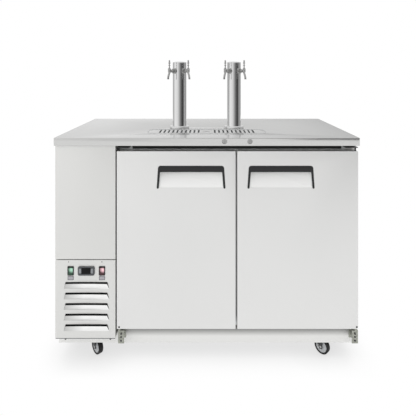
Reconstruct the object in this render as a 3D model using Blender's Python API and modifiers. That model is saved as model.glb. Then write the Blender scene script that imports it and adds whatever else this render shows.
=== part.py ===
"""Two-door direct-draw beer cooler with two draft towers, as separate named pieces.

Metres, +Z up. X runs to the right, Y to the back, and the floor is Z = 0.
The origin is on the floor, under the centre of the countertop.
"""

import math

import bmesh
import bpy
from mathutils import Matrix, Vector

# Whole body
COUNTER_WIDTH = 1.468
COUNTER_DEPTH = 0.714
COUNTER_THICK = 0.038
BODY_HEIGHT = 1.021  # skirt's lower edge to the counter's top
FLOOR_GAP = 0.079  # floor to the skirt's lower edge
SIDE_OVERHANG = 0.004  # counter past the body at each side
BACK_INSET = 0.010  # counter's back edge past the cabinet's back
SEAT_GAP = 0.0003  # between pieces that rest on each other
OVERRUN = 0.005  # how far a cutter runs past what it cuts
SHEET = 0.0015  # sheet steel

# Doors
DOOR_RISE = 0.098  # skirt's lower edge to the doors
DOOR_TOP_GAP = 0.028  # under the counter
DOOR_SETBACK = 0.011  # behind the counter's front edge
DOOR_THICK = 0.045
MEETING_OFFSET = 0.005  # doors' meeting line, left of the middle of both
DOOR_MEETING_GAP = 0.008
BAY_GAP = 0.006  # between the left panels and the left door
DOOR_EDGE_ROUND = 0.002
BAY_WIDTH = 0.293  # compressor bay, body's side to the middle of its gap
GASKET_DEPTH = 0.008
GASKET_WIDTH = 0.018
GASKET_INSET = 0.013  # inside the door's edge
CORE_GROOVE = 0.003  # channel in the door's back that takes the gasket

# Door handles
HANDLE_LENGTH_LEFT = 0.331
HANDLE_LENGTH_RIGHT = 0.323
HANDLE_HEIGHT = 0.110
HANDLE_TOP_DROP = 0.070  # from the door's top edge
HANDLE_TO_MEETING = 0.053  # from the meeting gap's middle
HANDLE_BAR = 0.030
HANDLE_LEG = 0.010
HANDLE_SPLAY = 0.006
HANDLE_CORNER = 0.014
HANDLE_PROUD = 0.0025
HANDLE_LIP = 0.004
SCOOP_DEPTH = 0.030

# Hinges
HINGE_IN_X = 0.011  # pin axis from the door's outer edge
HINGE_IN_Y = 0.010  # pin axis behind the door's front
PIN_RADIUS = 0.004
PIN_CLEAR = 0.0006
PIN_REACH = 0.014  # how far the pin stands into the door
BRACKET_WIDTH = 0.029
BRACKET_HEIGHT = 0.062
BRACKET_DROP = 0.009  # bracket's top below the door
BRACKET_PLATE = 0.003
BRACKET_HOLE_RADIUS = 0.0042
BRACKET_HOLE_PITCH = 0.020
BRACKET_HOLE_COUNT = 3
TOP_BRACKET_WIDTH = 0.060
TOP_BRACKET_DROP = 0.012

# Insulated keg compartment
WALL = 0.045
BACK_WALL = 0.045
OPENING_INSET = 0.036  # door edge to the opening, top and bottom and at the mullion
MULLION_DEPTH = 0.040

# Base and castors
BASE_HEIGHT = 0.027
BASE_SHEET = 0.002
KICK_TOP_GAP = 0.012  # kick plate's top below the doors
CASTOR_FROM_END = 0.164
CASTOR_FROM_FRONT = 0.1155
CASTOR_FROM_BACK = 0.110
CASTOR_TRAIL = 0.022
CASTOR_REST_DEG = 45.0
WHEEL_RADIUS = 0.0375
WHEEL_WIDTH = 0.024
AXLE_RADIUS = 0.004
AXLE_PROUD = 0.001
HUB_RADIUS = 0.012
FORK_SHEET = 0.003
FORK_WIDTH = 0.034
FORK_REACH = 0.026  # half the length of the fork's flat top
CASTOR_PLATE_LENGTH = 0.092
CASTOR_PLATE_WIDTH = 0.066
CASTOR_PLATE_THICK = 0.0025
BEARING_RADIUS = 0.024
BEARING_HEIGHT = 0.006
BEARING_SINK = 0.002
LEG_SINK = 0.001
KINGPIN_RADIUS = 0.006
BEARING_INSET = 0.001

# Compressor bay
COVER_SPLIT_RISE = 0.433  # skirt's lower edge to the line between the bay's two front panels
COVER_SPLIT_GAP = 0.004
LOUVRE_PANEL_RISE = 0.055
BAY_TOP_GAP = 0.002
PANEL_END_GAP = 0.003
PANEL_SHEET = 0.002
LOUVRE_COUNT = 5
LOUVRE_TOP_RISE = 0.323
LOUVRE_PITCH = 0.0509
LOUVRE_HEIGHT = 0.030
LOUVRE_LENGTH = 0.219
LOUVRE_TAPER = 0.010
LOUVRE_PROUD = 0.009

# Controls, seen from the front
CONTROL_FROM_SIDE = 0.150
CONTROL_RISE = 0.3795
CONTROL_WIDTH = 0.080
CONTROL_HEIGHT = 0.043
CONTROL_PROUD = 0.006
CONTROL_BODY_DEPTH = 0.050
CONTROL_BODY_INSET = 0.005
CONTROL_ROUND = 0.003
DISPLAY_WIDTH = 0.038
DISPLAY_HEIGHT = 0.026
DISPLAY_DEPTH = 0.0015
KEY_WIDTH = 0.011
KEY_HEIGHT = 0.022
KEY_OFFSET = 0.0285
KEY_TRAVEL = 0.0008
KEY_PROUD = 0.0012
KEY_DEPTH = 0.004
SWITCH_OFFSET = 0.0755
SWITCH_WIDTH = 0.030
SWITCH_HEIGHT = 0.044
SWITCH_RIM = 0.0035
SWITCH_PROUD = 0.003
SWITCH_BODY_DEPTH = 0.022
ROCKER_PIVOT_DEPTH = 0.005
ROCKER_ANGLE_DEG = 9.0
ROCKER_CLEAR = 0.0012
ROCKER_PROUD = 0.0055

# Refrigeration, inside the bay
COMPRESSOR_RADIUS = 0.080
COMPRESSOR_HEIGHT = 0.190
COMPRESSOR_FROM_SIDE = 0.145
COMPRESSOR_FROM_BACK = 0.237
FOOT_THICK = 0.006
FOOT_LENGTH = 0.190
FOOT_WIDTH = 0.110
COIL_WIDTH = 0.240
COIL_HEIGHT = 0.250
COIL_DEPTH = 0.060
COIL_FRONT_GAP = 0.070
COIL_FIN_COUNT = 15
COIL_FIN_DEPTH = 0.004
COIL_FIN_SLOT = 0.006
SHROUD_THICK = 0.002
SHROUD_LAP = 0.001
SHROUD_DEPTH = 0.040
CONDENSER_FAN_RADIUS = 0.100
EVAPORATOR_FAN_RADIUS = 0.070
FAN_TIP_GAP = 0.006
FAN_HUB_RADIUS = 0.022
FAN_HUB_LENGTH = 0.022
FAN_BLADE_COUNT = 5
FAN_BLADE_THICK = 0.002
FAN_BLADE_CHORD = 0.042
FAN_PITCH_DEG = 28.0
SHAFT_RADIUS = 0.004
MOTOR_RADIUS = 0.036
MOTOR_LENGTH = 0.045
MOTOR_SPACE = 0.006
SPIDER_WIDTH = 0.010
SPIDER_COUNT = 3
EVAPORATOR_BACK_GAP = 0.032
EVAPORATOR_FRONT_GAP = 0.1054
EVAPORATOR_HEIGHT = 0.230
EVAPORATOR_DEPTH = 0.110
GRILLE_BAR_COUNT = 9
GRILLE_SLOT_HEIGHT = 0.012
GRILLE_MARGIN = 0.040
GLAND_RADIUS = 0.009
GLAND_RISE = 0.040

# Countertop fittings
LOCK_LEFT_OF_MEETING = 0.058
LOCK_RIGHT_OF_MEETING = 0.064
LOCK_DROP = 0.017
LOCK_RADIUS = 0.012
LOCK_PROUD = 0.003
LOCK_LENGTH = 0.022
LOCK_SHANK_RADIUS = 0.0095
LOCK_SLOT = 0.0022
LOCK_SLOT_LENGTH = 0.011
LOCK_SLOT_DEPTH = 0.0018
TRAY_HALF_LENGTH = 0.308
TRAY_FROM_FRONT = 0.134
TRAY_WIDTH = 0.136
TRAY_CORNER = 0.038
TRAY_DEPTH = 0.026
TRAY_WALL = 0.0015
TRAY_LEDGE = 0.006
GRATE_THICK = 0.0025
GRATE_SINK = 0.0005
GRATE_CLEAR = 0.0008
SLOT_COUNT = 10
SLOT_PITCH = 0.0224
SLOT_WIDTH = 0.009
SLOT_LENGTH = 0.095
SLOT_GROUP_X = 0.1434
FINGER_SLOT_LENGTH = 0.023
FINGER_SLOT_WIDTH = 0.008

# Draft towers and faucets
TOWER_X = 0.1524
TOWER_FROM_FRONT = 0.328
TOWER_RADIUS = 0.0381
TOWER_HEIGHT = 0.362
TOWER_WALL = 0.003
TOWER_FLANGE_RADIUS = 0.0545
TOWER_FLANGE_HEIGHT = 0.009
CAP_HEIGHT = 0.004
CAP_DOME = 0.004
CAP_PLUG = 0.010
SHANK_DROP = 0.044  # below the column's top
SHANK_RADIUS = 0.0085
COLLAR_RADIUS = 0.0145
COLLAR_LENGTH = 0.012
FAUCET_TURN_DEG = 40.0
FAUCET_REACH = 0.080
FAUCET_BODY_RADIUS = 0.0085
FAUCET_BODY_DROP = 0.012
FAUCET_BODY_RISE = 0.014
SPOUT_RADIUS = 0.0055
SPOUT_DROP = 0.045
SPOUT_OUT = 0.010
SHANK_INSIDE = 0.012
LEVER_RISE = 0.059  # above the shank
LEVER_RADIUS = 0.0042
LEVER_BALL_RADIUS = 0.0059
SOCKET_CLEAR = 0.0005

# Small sizes of the pieces above
SIDE_FLANGE = 0.025
LOCK_CHAMFER = 0.001
SCOOP_HEEL_SHARE = 0.2
DOOR_PANEL_INSET = 0.045
DOOR_PANEL_RAISE = 0.004
BRACKET_SETBACK = 0.0035
WASHER_SHARE = 1.8
CAP_CROWN_SHARE = 0.62
BODY_SWELL_SHARE = 0.85
SPOUT_POINT_COUNT = 6
LEVER_SHARES = (
    (0.70, 1.00),
    (1.00, 0.97),
    (1.00, 0.80),
    (0.72, 0.78),
    (0.72, 0.73),
    (1.45, 0.71),
    (1.45, 0.60),
    (0.72, 0.58),
    (0.72, 0.44),
    (1.30, 0.42),
    (1.30, 0.32),
    (0.66, 0.30),
)
RIM_SHARE = 0.74
HUB_SHARE = 0.90
RIM_DISH = 0.003
TREAD_ROUND = 0.003
LOUVRE_FROM_SIDE = 0.1505
LOUVRE_SLIT = 0.004
ROCKER_WELL = 0.016
ROCKER_DISH_SHARE = 0.9
ROCKER_ROOT_SHARE = 0.35
ROCKER_SIDE_GAP = 0.0006
ROCKER_PIN = 0.0016
COMPRESSOR_SHARES = (
    (0.35, 0.985),
    (0.62, 0.93),
    (0.84, 0.83),
    (0.97, 0.70),
    (1.00, 0.62),
    (1.00, 0.40),
    (1.03, 0.39),
    (1.03, 0.36),
    (1.00, 0.35),
    (0.98, 0.16),
    (0.80, 0.04),
    (0.55, 0.00),
)
LINE_HEIGHT_SHARE = 0.5
LINE_START_SHARE = 0.95
LINE_POINT_COUNT = 5
LINE_BEND = 0.020
LINE_RISE = 0.110
LINE_RADIUS = 0.004
SPIDER_THICK = 0.003
SPIDER_SINK = 0.001
SHAFT_SINK = 0.003
SHANK_SINK = 0.0023
FAN_RING_DEPTH = 0.042
EVAPORATOR_MOTOR_LENGTH = 0.028
EVAPORATOR_ROUND = 0.005

# Where the main planes lie
COUNTER_TOP = FLOOR_GAP + BODY_HEIGHT
COUNTER_FRONT = -COUNTER_DEPTH / 2
COUNTER_BACK = COUNTER_DEPTH / 2
COUNTER_LOW = COUNTER_TOP - COUNTER_THICK
BODY_LEFT = SIDE_OVERHANG - COUNTER_WIDTH / 2
BODY_RIGHT = COUNTER_WIDTH / 2 - SIDE_OVERHANG
BODY_BACK = COUNTER_BACK - BACK_INSET
DOOR_FRONT = COUNTER_FRONT + DOOR_SETBACK
DOOR_BACK = DOOR_FRONT + DOOR_THICK
DOOR_TOP = COUNTER_LOW - DOOR_TOP_GAP
DOOR_LOW = FLOOR_GAP + DOOR_RISE
CABINET_FRONT = DOOR_BACK + GASKET_DEPTH - CORE_GROOVE + SEAT_GAP * 2
BASE_TOP = FLOOR_GAP + BASE_HEIGHT
CABINET_LOW = BASE_TOP + SEAT_GAP
CABINET_TOP = COUNTER_LOW - SEAT_GAP
BAY_RIGHT = BODY_LEFT + BAY_WIDTH
LEFT_DOOR_OUT = BAY_RIGHT + BAY_GAP / 2
RIGHT_DOOR_OUT = BODY_RIGHT
DOOR_MEETING_X = (LEFT_DOOR_OUT + RIGHT_DOOR_OUT) / 2 - MEETING_OFFSET
LEFT_DOOR_IN = DOOR_MEETING_X - DOOR_MEETING_GAP / 2
RIGHT_DOOR_IN = DOOR_MEETING_X + DOOR_MEETING_GAP / 2
INSIDE_LEFT = BAY_RIGHT + WALL
INSIDE_RIGHT = BODY_RIGHT - WALL
INSIDE_LOW = DOOR_LOW + OPENING_INSET
INSIDE_TOP = DOOR_TOP - OPENING_INSET
INSIDE_BACK = BODY_BACK - BACK_WALL
POST_LEFT = LEFT_DOOR_IN - OPENING_INSET
POST_RIGHT = RIGHT_DOOR_IN + OPENING_INSET
POST_BACK = CABINET_FRONT + MULLION_DEPTH
BAY_LEFT = BODY_LEFT
PANEL_RIGHT_X = BAY_RIGHT - PANEL_END_GAP
KICK_TOP = DOOR_LOW - KICK_TOP_GAP
KICK_FRONT = CABINET_FRONT - SEAT_GAP - SHEET
CASTOR_X = BODY_RIGHT - CASTOR_FROM_END
COVER_SPLIT = FLOOR_GAP + COVER_SPLIT_RISE
LOUVRE_BOTTOM = FLOOR_GAP + LOUVRE_PANEL_RISE
LOUVRE_TOP = FLOOR_GAP + LOUVRE_TOP_RISE
LOUVRE_X = BODY_LEFT + LOUVRE_FROM_SIDE
CONTROL_X = BODY_LEFT + CONTROL_FROM_SIDE
CONTROL_Z = FLOOR_GAP + CONTROL_RISE
COMPRESSOR_X = BODY_LEFT + COMPRESSOR_FROM_SIDE
COMPRESSOR_Y = BODY_BACK - COMPRESSOR_FROM_BACK
EVAPORATOR_LENGTH = INSIDE_BACK - POST_BACK - EVAPORATOR_BACK_GAP - EVAPORATOR_FRONT_GAP
EVAPORATOR_Y = INSIDE_BACK - EVAPORATOR_BACK_GAP - EVAPORATOR_LENGTH / 2
LOCK_LEFT_X = DOOR_MEETING_X - LOCK_LEFT_OF_MEETING
LOCK_RIGHT_X = DOOR_MEETING_X + LOCK_RIGHT_OF_MEETING
TRAY_FRONT_Y = COUNTER_FRONT + TRAY_FROM_FRONT
TRAY_BACK_Y = TRAY_FRONT_Y + TRAY_WIDTH
TOWER_Y = COUNTER_FRONT + TOWER_FROM_FRONT
SHANK_HEIGHT = TOWER_HEIGHT - SHANK_DROP
LEVER_TOP = SHANK_HEIGHT + LEVER_RISE

# The scene and its collections
for old in list(bpy.data.objects):
    bpy.data.objects.remove(old, do_unlink=True)
parts = bpy.data.collections.new("draft_beer_cooler")
cutters = bpy.data.collections.new("cutters")
bpy.context.scene.collection.children.link(parts)
bpy.context.scene.collection.children.link(cutters)
SMOOTH_ANGLE = math.radians(35)
ROUND_SIDES = 24


def put(name, mesh, collection=None):
    """A new object holding this mesh."""
    piece = bpy.data.objects.new(name, mesh)
    (collection or parts).objects.link(piece)
    return piece


def from_bmesh(name, shape):
    """A new object from a bmesh, faces pointing out."""
    bmesh.ops.recalc_face_normals(shape, faces=shape.faces)
    mesh = bpy.data.meshes.new(name)
    shape.to_mesh(mesh)
    shape.free()
    return put(name, mesh)


def block(name, low, high):
    """A box between two opposite corners."""
    low, high = Vector(low), Vector(high)
    shape = bmesh.new()
    bmesh.ops.create_cube(shape, size=1.0)
    bmesh.ops.scale(shape, vec=high - low, verts=shape.verts)
    bmesh.ops.translate(shape, vec=(low + high) / 2, verts=shape.verts)
    return from_bmesh(name, shape)


def rod(name, radius, start, end, sides=24, end_radius=None):
    """A round bar, or a cone, between two points."""
    start, end = Vector(start), Vector(end)
    along = end - start
    shape = bmesh.new()
    bmesh.ops.create_cone(
        shape,
        cap_ends=True,
        segments=sides,
        radius1=radius,
        radius2=radius if end_radius is None else end_radius,
        depth=along.length,
    )
    turn = Vector((0, 0, 1)).rotation_difference(along).to_matrix().to_4x4()
    bmesh.ops.transform(
        shape, matrix=Matrix.Translation((start + end) / 2) @ turn, verts=shape.verts
    )
    return from_bmesh(name, shape)


def ball(name, radius, centre):
    shape = bmesh.new()
    bmesh.ops.create_uvsphere(shape, u_segments=10, v_segments=6, radius=radius)
    bmesh.ops.translate(shape, vec=centre, verts=shape.verts)
    return from_bmesh(name, shape)


def solid_of(piece):
    """The piece with its modifiers applied and its curve ends welded."""
    bpy.context.view_layer.update()
    graph = bpy.context.evaluated_depsgraph_get()
    mesh = bpy.data.meshes.new_from_object(piece.evaluated_get(graph))
    shape = bmesh.new()
    shape.from_mesh(mesh)
    bmesh.ops.remove_doubles(shape, verts=shape.verts, dist=0.000005)
    shape.to_mesh(mesh)
    shape.free()
    name, matrix = piece.name, piece.matrix_world.copy()
    bpy.data.objects.remove(piece, do_unlink=True)
    solid = put(name, mesh)
    solid.name = name
    solid.matrix_world = matrix
    return solid


def outline(name, rings, thick, turn=(0, 0, 0), place=(0, 0, 0)):
    """A flat plate from outlines in its own plane; a ring inside another is a hole."""
    curve = bpy.data.curves.new(name, "CURVE")
    curve.dimensions = "2D"
    curve.fill_mode = "BOTH"
    curve.extrude = thick / 2
    for ring in rings:
        line = curve.splines.new("POLY")
        line.points.add(len(ring[1:]))
        for point, (u, v) in zip(line.points, ring):
            point.co = (u, v, 0, 1)
        line.use_cyclic_u = True
    plate = put(name, curve)
    plate.rotation_euler = turn
    plate.location = place
    plate = solid_of(plate)
    plate.data.transform(plate.matrix_world)
    plate.matrix_world = Matrix.Identity(4)
    return plate


FACE_FRONT = (math.radians(90), 0, 0)  # outline in X and Z
FACE_SIDE = (math.radians(90), 0, math.radians(90))  # outline in Y and Z


def side_prism(name, ring, left, right):
    """An outline in Y and Z run along X from left to right."""
    return outline(name, [ring], right - left, FACE_SIDE, ((left + right) / 2, 0, 0))


def front_prism(name, rings, front, back):
    """Outlines in X and Z run along Y from front to back."""
    return outline(name, rings, back - front, FACE_FRONT, (0, (front + back) / 2, 0))


def tube(name, points, radius, roundness=2):
    """A round tube with capped ends along a row of points."""
    curve = bpy.data.curves.new(name, "CURVE")
    curve.dimensions = "3D"
    curve.bevel_depth = radius
    curve.bevel_resolution = roundness
    curve.use_fill_caps = True
    line = curve.splines.new("POLY")
    line.points.add(len(points[1:]))
    for point, place in zip(line.points, points):
        point.co = (*place, 1)
    return solid_of(put(name, curve))


def turned(name, profile, place=(0, 0, 0), steps=32, closed=False):
    """A profile of (radius, height) points, top to bottom, turned about Z."""
    shape = bmesh.new()
    row = [shape.verts.new((r, 0, h)) for r, h in profile]
    if closed:
        row.append(row[0])
    for a, b in zip(row, row[1:]):
        shape.edges.new((a, b))
    mesh = bpy.data.meshes.new(name)
    shape.to_mesh(mesh)
    shape.free()
    piece = put(name, mesh)
    screw = piece.modifiers.new("turn", "SCREW")
    screw.angle = math.radians(360)
    screw.steps = steps
    screw.render_steps = steps
    screw.use_merge_vertices = True
    screw.merge_threshold = 0.000005
    piece = solid_of(piece)
    piece.data.transform(Matrix.Translation(place))
    return piece


def boolean(piece, other, kind):
    change = piece.modifiers.new(kind.lower(), "BOOLEAN")
    change.operation = kind
    change.solver = "EXACT"
    change.object = other
    for home in list(other.users_collection):
        home.objects.unlink(other)
    cutters.objects.link(other)
    other.hide_render = True
    other.display_type = "WIRE"


def cut(piece, *others):
    for other in others:
        boolean(piece, other, "DIFFERENCE")
    return piece


def join(piece, *others):
    for other in others:
        boolean(piece, other, "UNION")
    return piece


def soften(piece, width, segments=2, angle=40.0):
    """Rounded edges."""
    bevel = piece.modifiers.new("round", "BEVEL")
    bevel.width = width
    bevel.segments = segments
    bevel.limit_method = "ANGLE"
    bevel.angle_limit = math.radians(angle)
    return piece


def axis_at(piece, point):
    """Moves the piece's origin to its joint's axis, with the shape where it was."""
    point = Vector(point)
    piece.data.transform(Matrix.Translation(-point))
    piece.location = point
    return piece


def finish(piece, colour, roughness, metallic=0.0):
    """The piece's own material, and smooth shading on its round faces."""
    material = bpy.data.materials.new(piece.name)
    material.use_nodes = True
    surface = material.node_tree.nodes["Principled BSDF"]
    surface.inputs["Base Color"].default_value = (*colour, 1)
    surface.inputs["Roughness"].default_value = roughness
    surface.inputs["Metallic"].default_value = metallic
    piece.data.materials.clear()
    piece.data.materials.append(material)
    piece.data.shade_smooth()
    piece.data.set_sharp_from_angle(angle=SMOOTH_ANGLE)
    return piece


STAINLESS = ((0.62, 0.62, 0.61), 0.32, 1.0)
BRIGHT = ((0.70, 0.70, 0.69), 0.12, 1.0)
CHROME = ((0.75, 0.75, 0.75), 0.06, 1.0)
GALVANISED = ((0.42, 0.43, 0.38), 0.50, 0.8)
ALUMINIUM = ((0.60, 0.61, 0.62), 0.40, 1.0)
BLACK_PLASTIC = ((0.015, 0.015, 0.017), 0.45, 0.0)
GREY_PLASTIC = ((0.20, 0.21, 0.22), 0.50, 0.0)
WHITE_LINER = ((0.72, 0.73, 0.73), 0.45, 0.0)
RUBBER = ((0.020, 0.020, 0.020), 0.70, 0.0)
BLACK_ENAMEL = ((0.012, 0.012, 0.012), 0.35, 0.0)


def loft_block(name, low, high, low_z, high_z):
    """A block whose lower and upper ends are (left, right, front, back)."""
    shape = bmesh.new()
    bmesh.ops.create_cube(shape, size=1.0)
    for corner in shape.verts:
        end = high if corner.co.z > 0 else low
        x = end[1] if corner.co.x > 0 else end[0]
        y = end[3] if corner.co.y > 0 else end[2]
        corner.co = (x, y, high_z if corner.co.z > 0 else low_z)
    return from_bmesh(name, shape)


def arc(centre_u, centre_v, radius, start, end, count):
    """Points along an arc, angles in degrees."""
    places = []
    for step in range(count + 1):
        angle = math.radians(start + (end - start) * step / count)
        places.append((centre_u + radius * math.cos(angle), centre_v + radius * math.sin(angle)))
    return places


def rounded(left, right, low, high, radius, count=5):
    """A rectangle with round corners."""
    return (
        arc(right - radius, high - radius, radius, 0, 90, count)
        + arc(left + radius, high - radius, radius, 90, 180, count)
        + arc(left + radius, low + radius, radius, 180, 270, count)
        + arc(right - radius, low + radius, radius, 270, 360, count)
    )


def rectangle(left, right, low, high):
    return [(left, low), (right, low), (right, high), (left, high)]


def circle(u, v, radius, count=32):
    return arc(u, v, radius, 0, 360 * (count - 1) / count, count - 1)


def flat(name, rings, low, high):
    """Outlines in X and Y raised from low to high."""
    return outline(name, rings, high - low, (0, 0, 0), (0, 0, (low + high) / 2))


# Base: a pan turned down at its edges, with the castors' plates and kingpins under it
base = block("base_frame", (BODY_LEFT, CABINET_FRONT, FLOOR_GAP), (BODY_RIGHT, BODY_BACK, BASE_TOP))
cut(
    base,
    block(
        "base_hollow",
        (BODY_LEFT + BASE_SHEET, CABINET_FRONT + BASE_SHEET, FLOOR_GAP - OVERRUN),
        (BODY_RIGHT - BASE_SHEET, BODY_BACK - BASE_SHEET, BASE_TOP - BASE_SHEET),
    ),
)
PLATE_LOW = BASE_TOP - BASE_SHEET - CASTOR_PLATE_THICK
FORK_TOP = PLATE_LOW - BEARING_INSET
CASTOR_PLACES = (
    ("front_left", -CASTOR_X, COUNTER_FRONT + CASTOR_FROM_FRONT),
    ("front_right", CASTOR_X, COUNTER_FRONT + CASTOR_FROM_FRONT),
    ("back_left", -CASTOR_X, BODY_BACK - CASTOR_FROM_BACK),
    ("back_right", CASTOR_X, BODY_BACK - CASTOR_FROM_BACK),
)
for where, x, y in CASTOR_PLACES:
    join(
        base,
        block(
            where + "_plate",
            (x - CASTOR_PLATE_LENGTH / 2, y - CASTOR_PLATE_WIDTH / 2, PLATE_LOW),
            (x + CASTOR_PLATE_LENGTH / 2, y + CASTOR_PLATE_WIDTH / 2, BASE_TOP - BASE_SHEET / 2),
        ),
        rod(
            where + "_kingpin",
            KINGPIN_RADIUS,
            (x, y, FORK_TOP - BEARING_HEIGHT - FORK_SHEET),
            (x, y, BASE_TOP - BASE_SHEET / 2),
            12,
        ),
    )
finish(base, *GALVANISED)

# Kick plate, lower under the compressor bay's panels
kick = front_prism(
    "kick_plate",
    [
        [
            (BODY_LEFT, FLOOR_GAP),
            (BODY_RIGHT, FLOOR_GAP),
            (BODY_RIGHT, KICK_TOP),
            (BAY_RIGHT, KICK_TOP),
            (BAY_RIGHT, LOUVRE_BOTTOM - SEAT_GAP),
            (BODY_LEFT, LOUVRE_BOTTOM - SEAT_GAP),
        ]
    ],
    KICK_FRONT,
    KICK_FRONT + SHEET,
)
finish(kick, *STAINLESS)

# Insulated cabinet: five foam panels round the keg space, with a post between the doors
TOWER_BORE = TOWER_RADIUS - TOWER_WALL
between_left = INSIDE_LEFT + SEAT_GAP
between_right = INSIDE_RIGHT - SEAT_GAP
between_back = INSIDE_BACK - SEAT_GAP
for name, low, high in (
    (
        "cabinet_left_wall",
        (BAY_RIGHT, CABINET_FRONT, CABINET_LOW),
        (INSIDE_LEFT, BODY_BACK, CABINET_TOP),
    ),
    (
        "cabinet_right_wall",
        (INSIDE_RIGHT, CABINET_FRONT, CABINET_LOW),
        (BODY_RIGHT, BODY_BACK, CABINET_TOP),
    ),
    (
        "cabinet_back_wall",
        (between_left, INSIDE_BACK, CABINET_LOW),
        (between_right, BODY_BACK, CABINET_TOP),
    ),
    (
        "cabinet_floor",
        (between_left, CABINET_FRONT, CABINET_LOW),
        (between_right, between_back, INSIDE_LOW),
    ),
    (
        "cabinet_ceiling",
        (between_left, CABINET_FRONT, INSIDE_TOP),
        (between_right, between_back, CABINET_TOP),
    ),
):
    panel = block(name, low, high)
    if name == "cabinet_floor":
        join(
            panel,
            block(
                "middle_post",
                (POST_LEFT, CABINET_FRONT, INSIDE_LOW - OVERRUN),
                (POST_RIGHT, POST_BACK, INSIDE_TOP - SEAT_GAP),
            ),
        )
    if name == "cabinet_ceiling":
        for side in (-1, 1):
            cut(
                panel,
                rod(
                    "line_way",
                    TOWER_BORE,
                    (side * TOWER_X, TOWER_Y, INSIDE_TOP - OVERRUN),
                    (side * TOWER_X, TOWER_Y, CABINET_TOP + OVERRUN),
                    ROUND_SIDES,
                ),
            )
    finish(panel, *WHITE_LINER)

# Left wall of the compressor bay: sheet with its front and back edges turned in
side_wall = flat(
    "left_side_panel",
    [
        [
            (BAY_LEFT, CABINET_FRONT),
            (BAY_LEFT + SIDE_FLANGE, CABINET_FRONT),
            (BAY_LEFT + SIDE_FLANGE, CABINET_FRONT + SHEET),
            (BAY_LEFT + SHEET, CABINET_FRONT + SHEET),
            (BAY_LEFT + SHEET, BODY_BACK - SHEET),
            (BAY_LEFT + SIDE_FLANGE, BODY_BACK - SHEET),
            (BAY_LEFT + SIDE_FLANGE, BODY_BACK),
            (BAY_LEFT, BODY_BACK),
        ]
    ],
    CABINET_LOW,
    CABINET_TOP,
)
finish(side_wall, *STAINLESS)

# Back grille of the bay: slotted sheet between the side wall's flange and the cabinet
GRILLE_LEFT = BAY_LEFT + SIDE_FLANGE + SEAT_GAP
GRILLE_RIGHT = BAY_RIGHT - SEAT_GAP
GRILLE_LOW = CABINET_LOW + SEAT_GAP
GRILLE_TOP = CABINET_TOP - SEAT_GAP
grille_pitch = (COVER_SPLIT - GRILLE_LOW - GRILLE_MARGIN * 2 - GLAND_RISE) / GRILLE_BAR_COUNT
rings = [rectangle(GRILLE_LEFT, GRILLE_RIGHT, GRILLE_LOW, GRILLE_TOP)]
for row in range(GRILLE_BAR_COUNT):
    low = GRILLE_LOW + GRILLE_MARGIN + GLAND_RISE + row * grille_pitch
    rings.append(
        rounded(
            GRILLE_LEFT + GRILLE_MARGIN,
            GRILLE_RIGHT - GRILLE_MARGIN,
            low,
            low + GRILLE_SLOT_HEIGHT,
            GRILLE_SLOT_HEIGHT / 2,
            2,
        )
    )
rings.append(circle(GRILLE_RIGHT - GRILLE_MARGIN, GRILLE_LOW + GLAND_RISE, GLAND_RADIUS, 16))
back_grille = front_prism("back_grille", rings, BODY_BACK - SHEET, BODY_BACK)
finish(back_grille, *GALVANISED)

# Countertop: slab with the drip tray's opening, the towers' bores and the locks' seats
TRAY_RING = (-TRAY_HALF_LENGTH, TRAY_HALF_LENGTH, TRAY_FRONT_Y, TRAY_BACK_Y)
LOCK_Z = COUNTER_TOP - LOCK_DROP


def tray_ring(inset):
    left, right, front, back = TRAY_RING
    return rounded(
        left + inset, right - inset, front + inset, back - inset, TRAY_CORNER - inset, 6
    )


counter = flat(
    "countertop",
    [
        rectangle(-COUNTER_WIDTH / 2, COUNTER_WIDTH / 2, COUNTER_FRONT, COUNTER_BACK),
        tray_ring(0),
        circle(-TOWER_X, TOWER_Y, TOWER_BORE, ROUND_SIDES),
        circle(TOWER_X, TOWER_Y, TOWER_BORE, ROUND_SIDES),
    ],
    COUNTER_LOW,
    COUNTER_TOP,
)
for x in (LOCK_LEFT_X, LOCK_RIGHT_X):
    cut(
        counter,
        rod(
            "lock_bore",
            LOCK_SHANK_RADIUS + SEAT_GAP,
            (x, COUNTER_FRONT - OVERRUN, LOCK_Z),
            (x, COUNTER_FRONT + LOCK_LENGTH + SEAT_GAP, LOCK_Z),
            16,
        ),
        rod(
            "lock_seat",
            LOCK_RADIUS + SEAT_GAP,
            (x, COUNTER_FRONT - OVERRUN, LOCK_Z),
            (x, COUNTER_FRONT + LOCK_PROUD + SEAT_GAP, LOCK_Z),
            24,
        ),
    )
finish(counter, *BRIGHT)

# Locks: a round head with a key slot, on its barrel
for name, x in (("left_lock", LOCK_LEFT_X), ("right_lock", LOCK_RIGHT_X)):
    lock = turned(
        name,
        [
            (0, LOCK_LENGTH),
            (LOCK_RADIUS - LOCK_CHAMFER, LOCK_LENGTH),
            (LOCK_RADIUS, LOCK_LENGTH - LOCK_CHAMFER),
            (LOCK_RADIUS, LOCK_LENGTH - LOCK_PROUD),
            (LOCK_SHANK_RADIUS, LOCK_LENGTH - LOCK_PROUD),
            (LOCK_SHANK_RADIUS, 0),
            (0, 0),
        ],
        steps=24,
    )
    lock.data.transform(
        Matrix.Translation((x, COUNTER_FRONT + LOCK_LENGTH, LOCK_Z))
        @ Matrix.Rotation(math.radians(90), 4, "X")
    )
    cut(
        lock,
        block(
            "key_slot",
            (x - LOCK_SLOT / 2, COUNTER_FRONT - OVERRUN, LOCK_Z - LOCK_SLOT_LENGTH / 2),
            (x + LOCK_SLOT / 2, COUNTER_FRONT + LOCK_SLOT_DEPTH, LOCK_Z + LOCK_SLOT_LENGTH / 2),
        ),
    )
    axis_at(lock, (x, COUNTER_FRONT, LOCK_Z))
    finish(lock, *CHROME)

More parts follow.
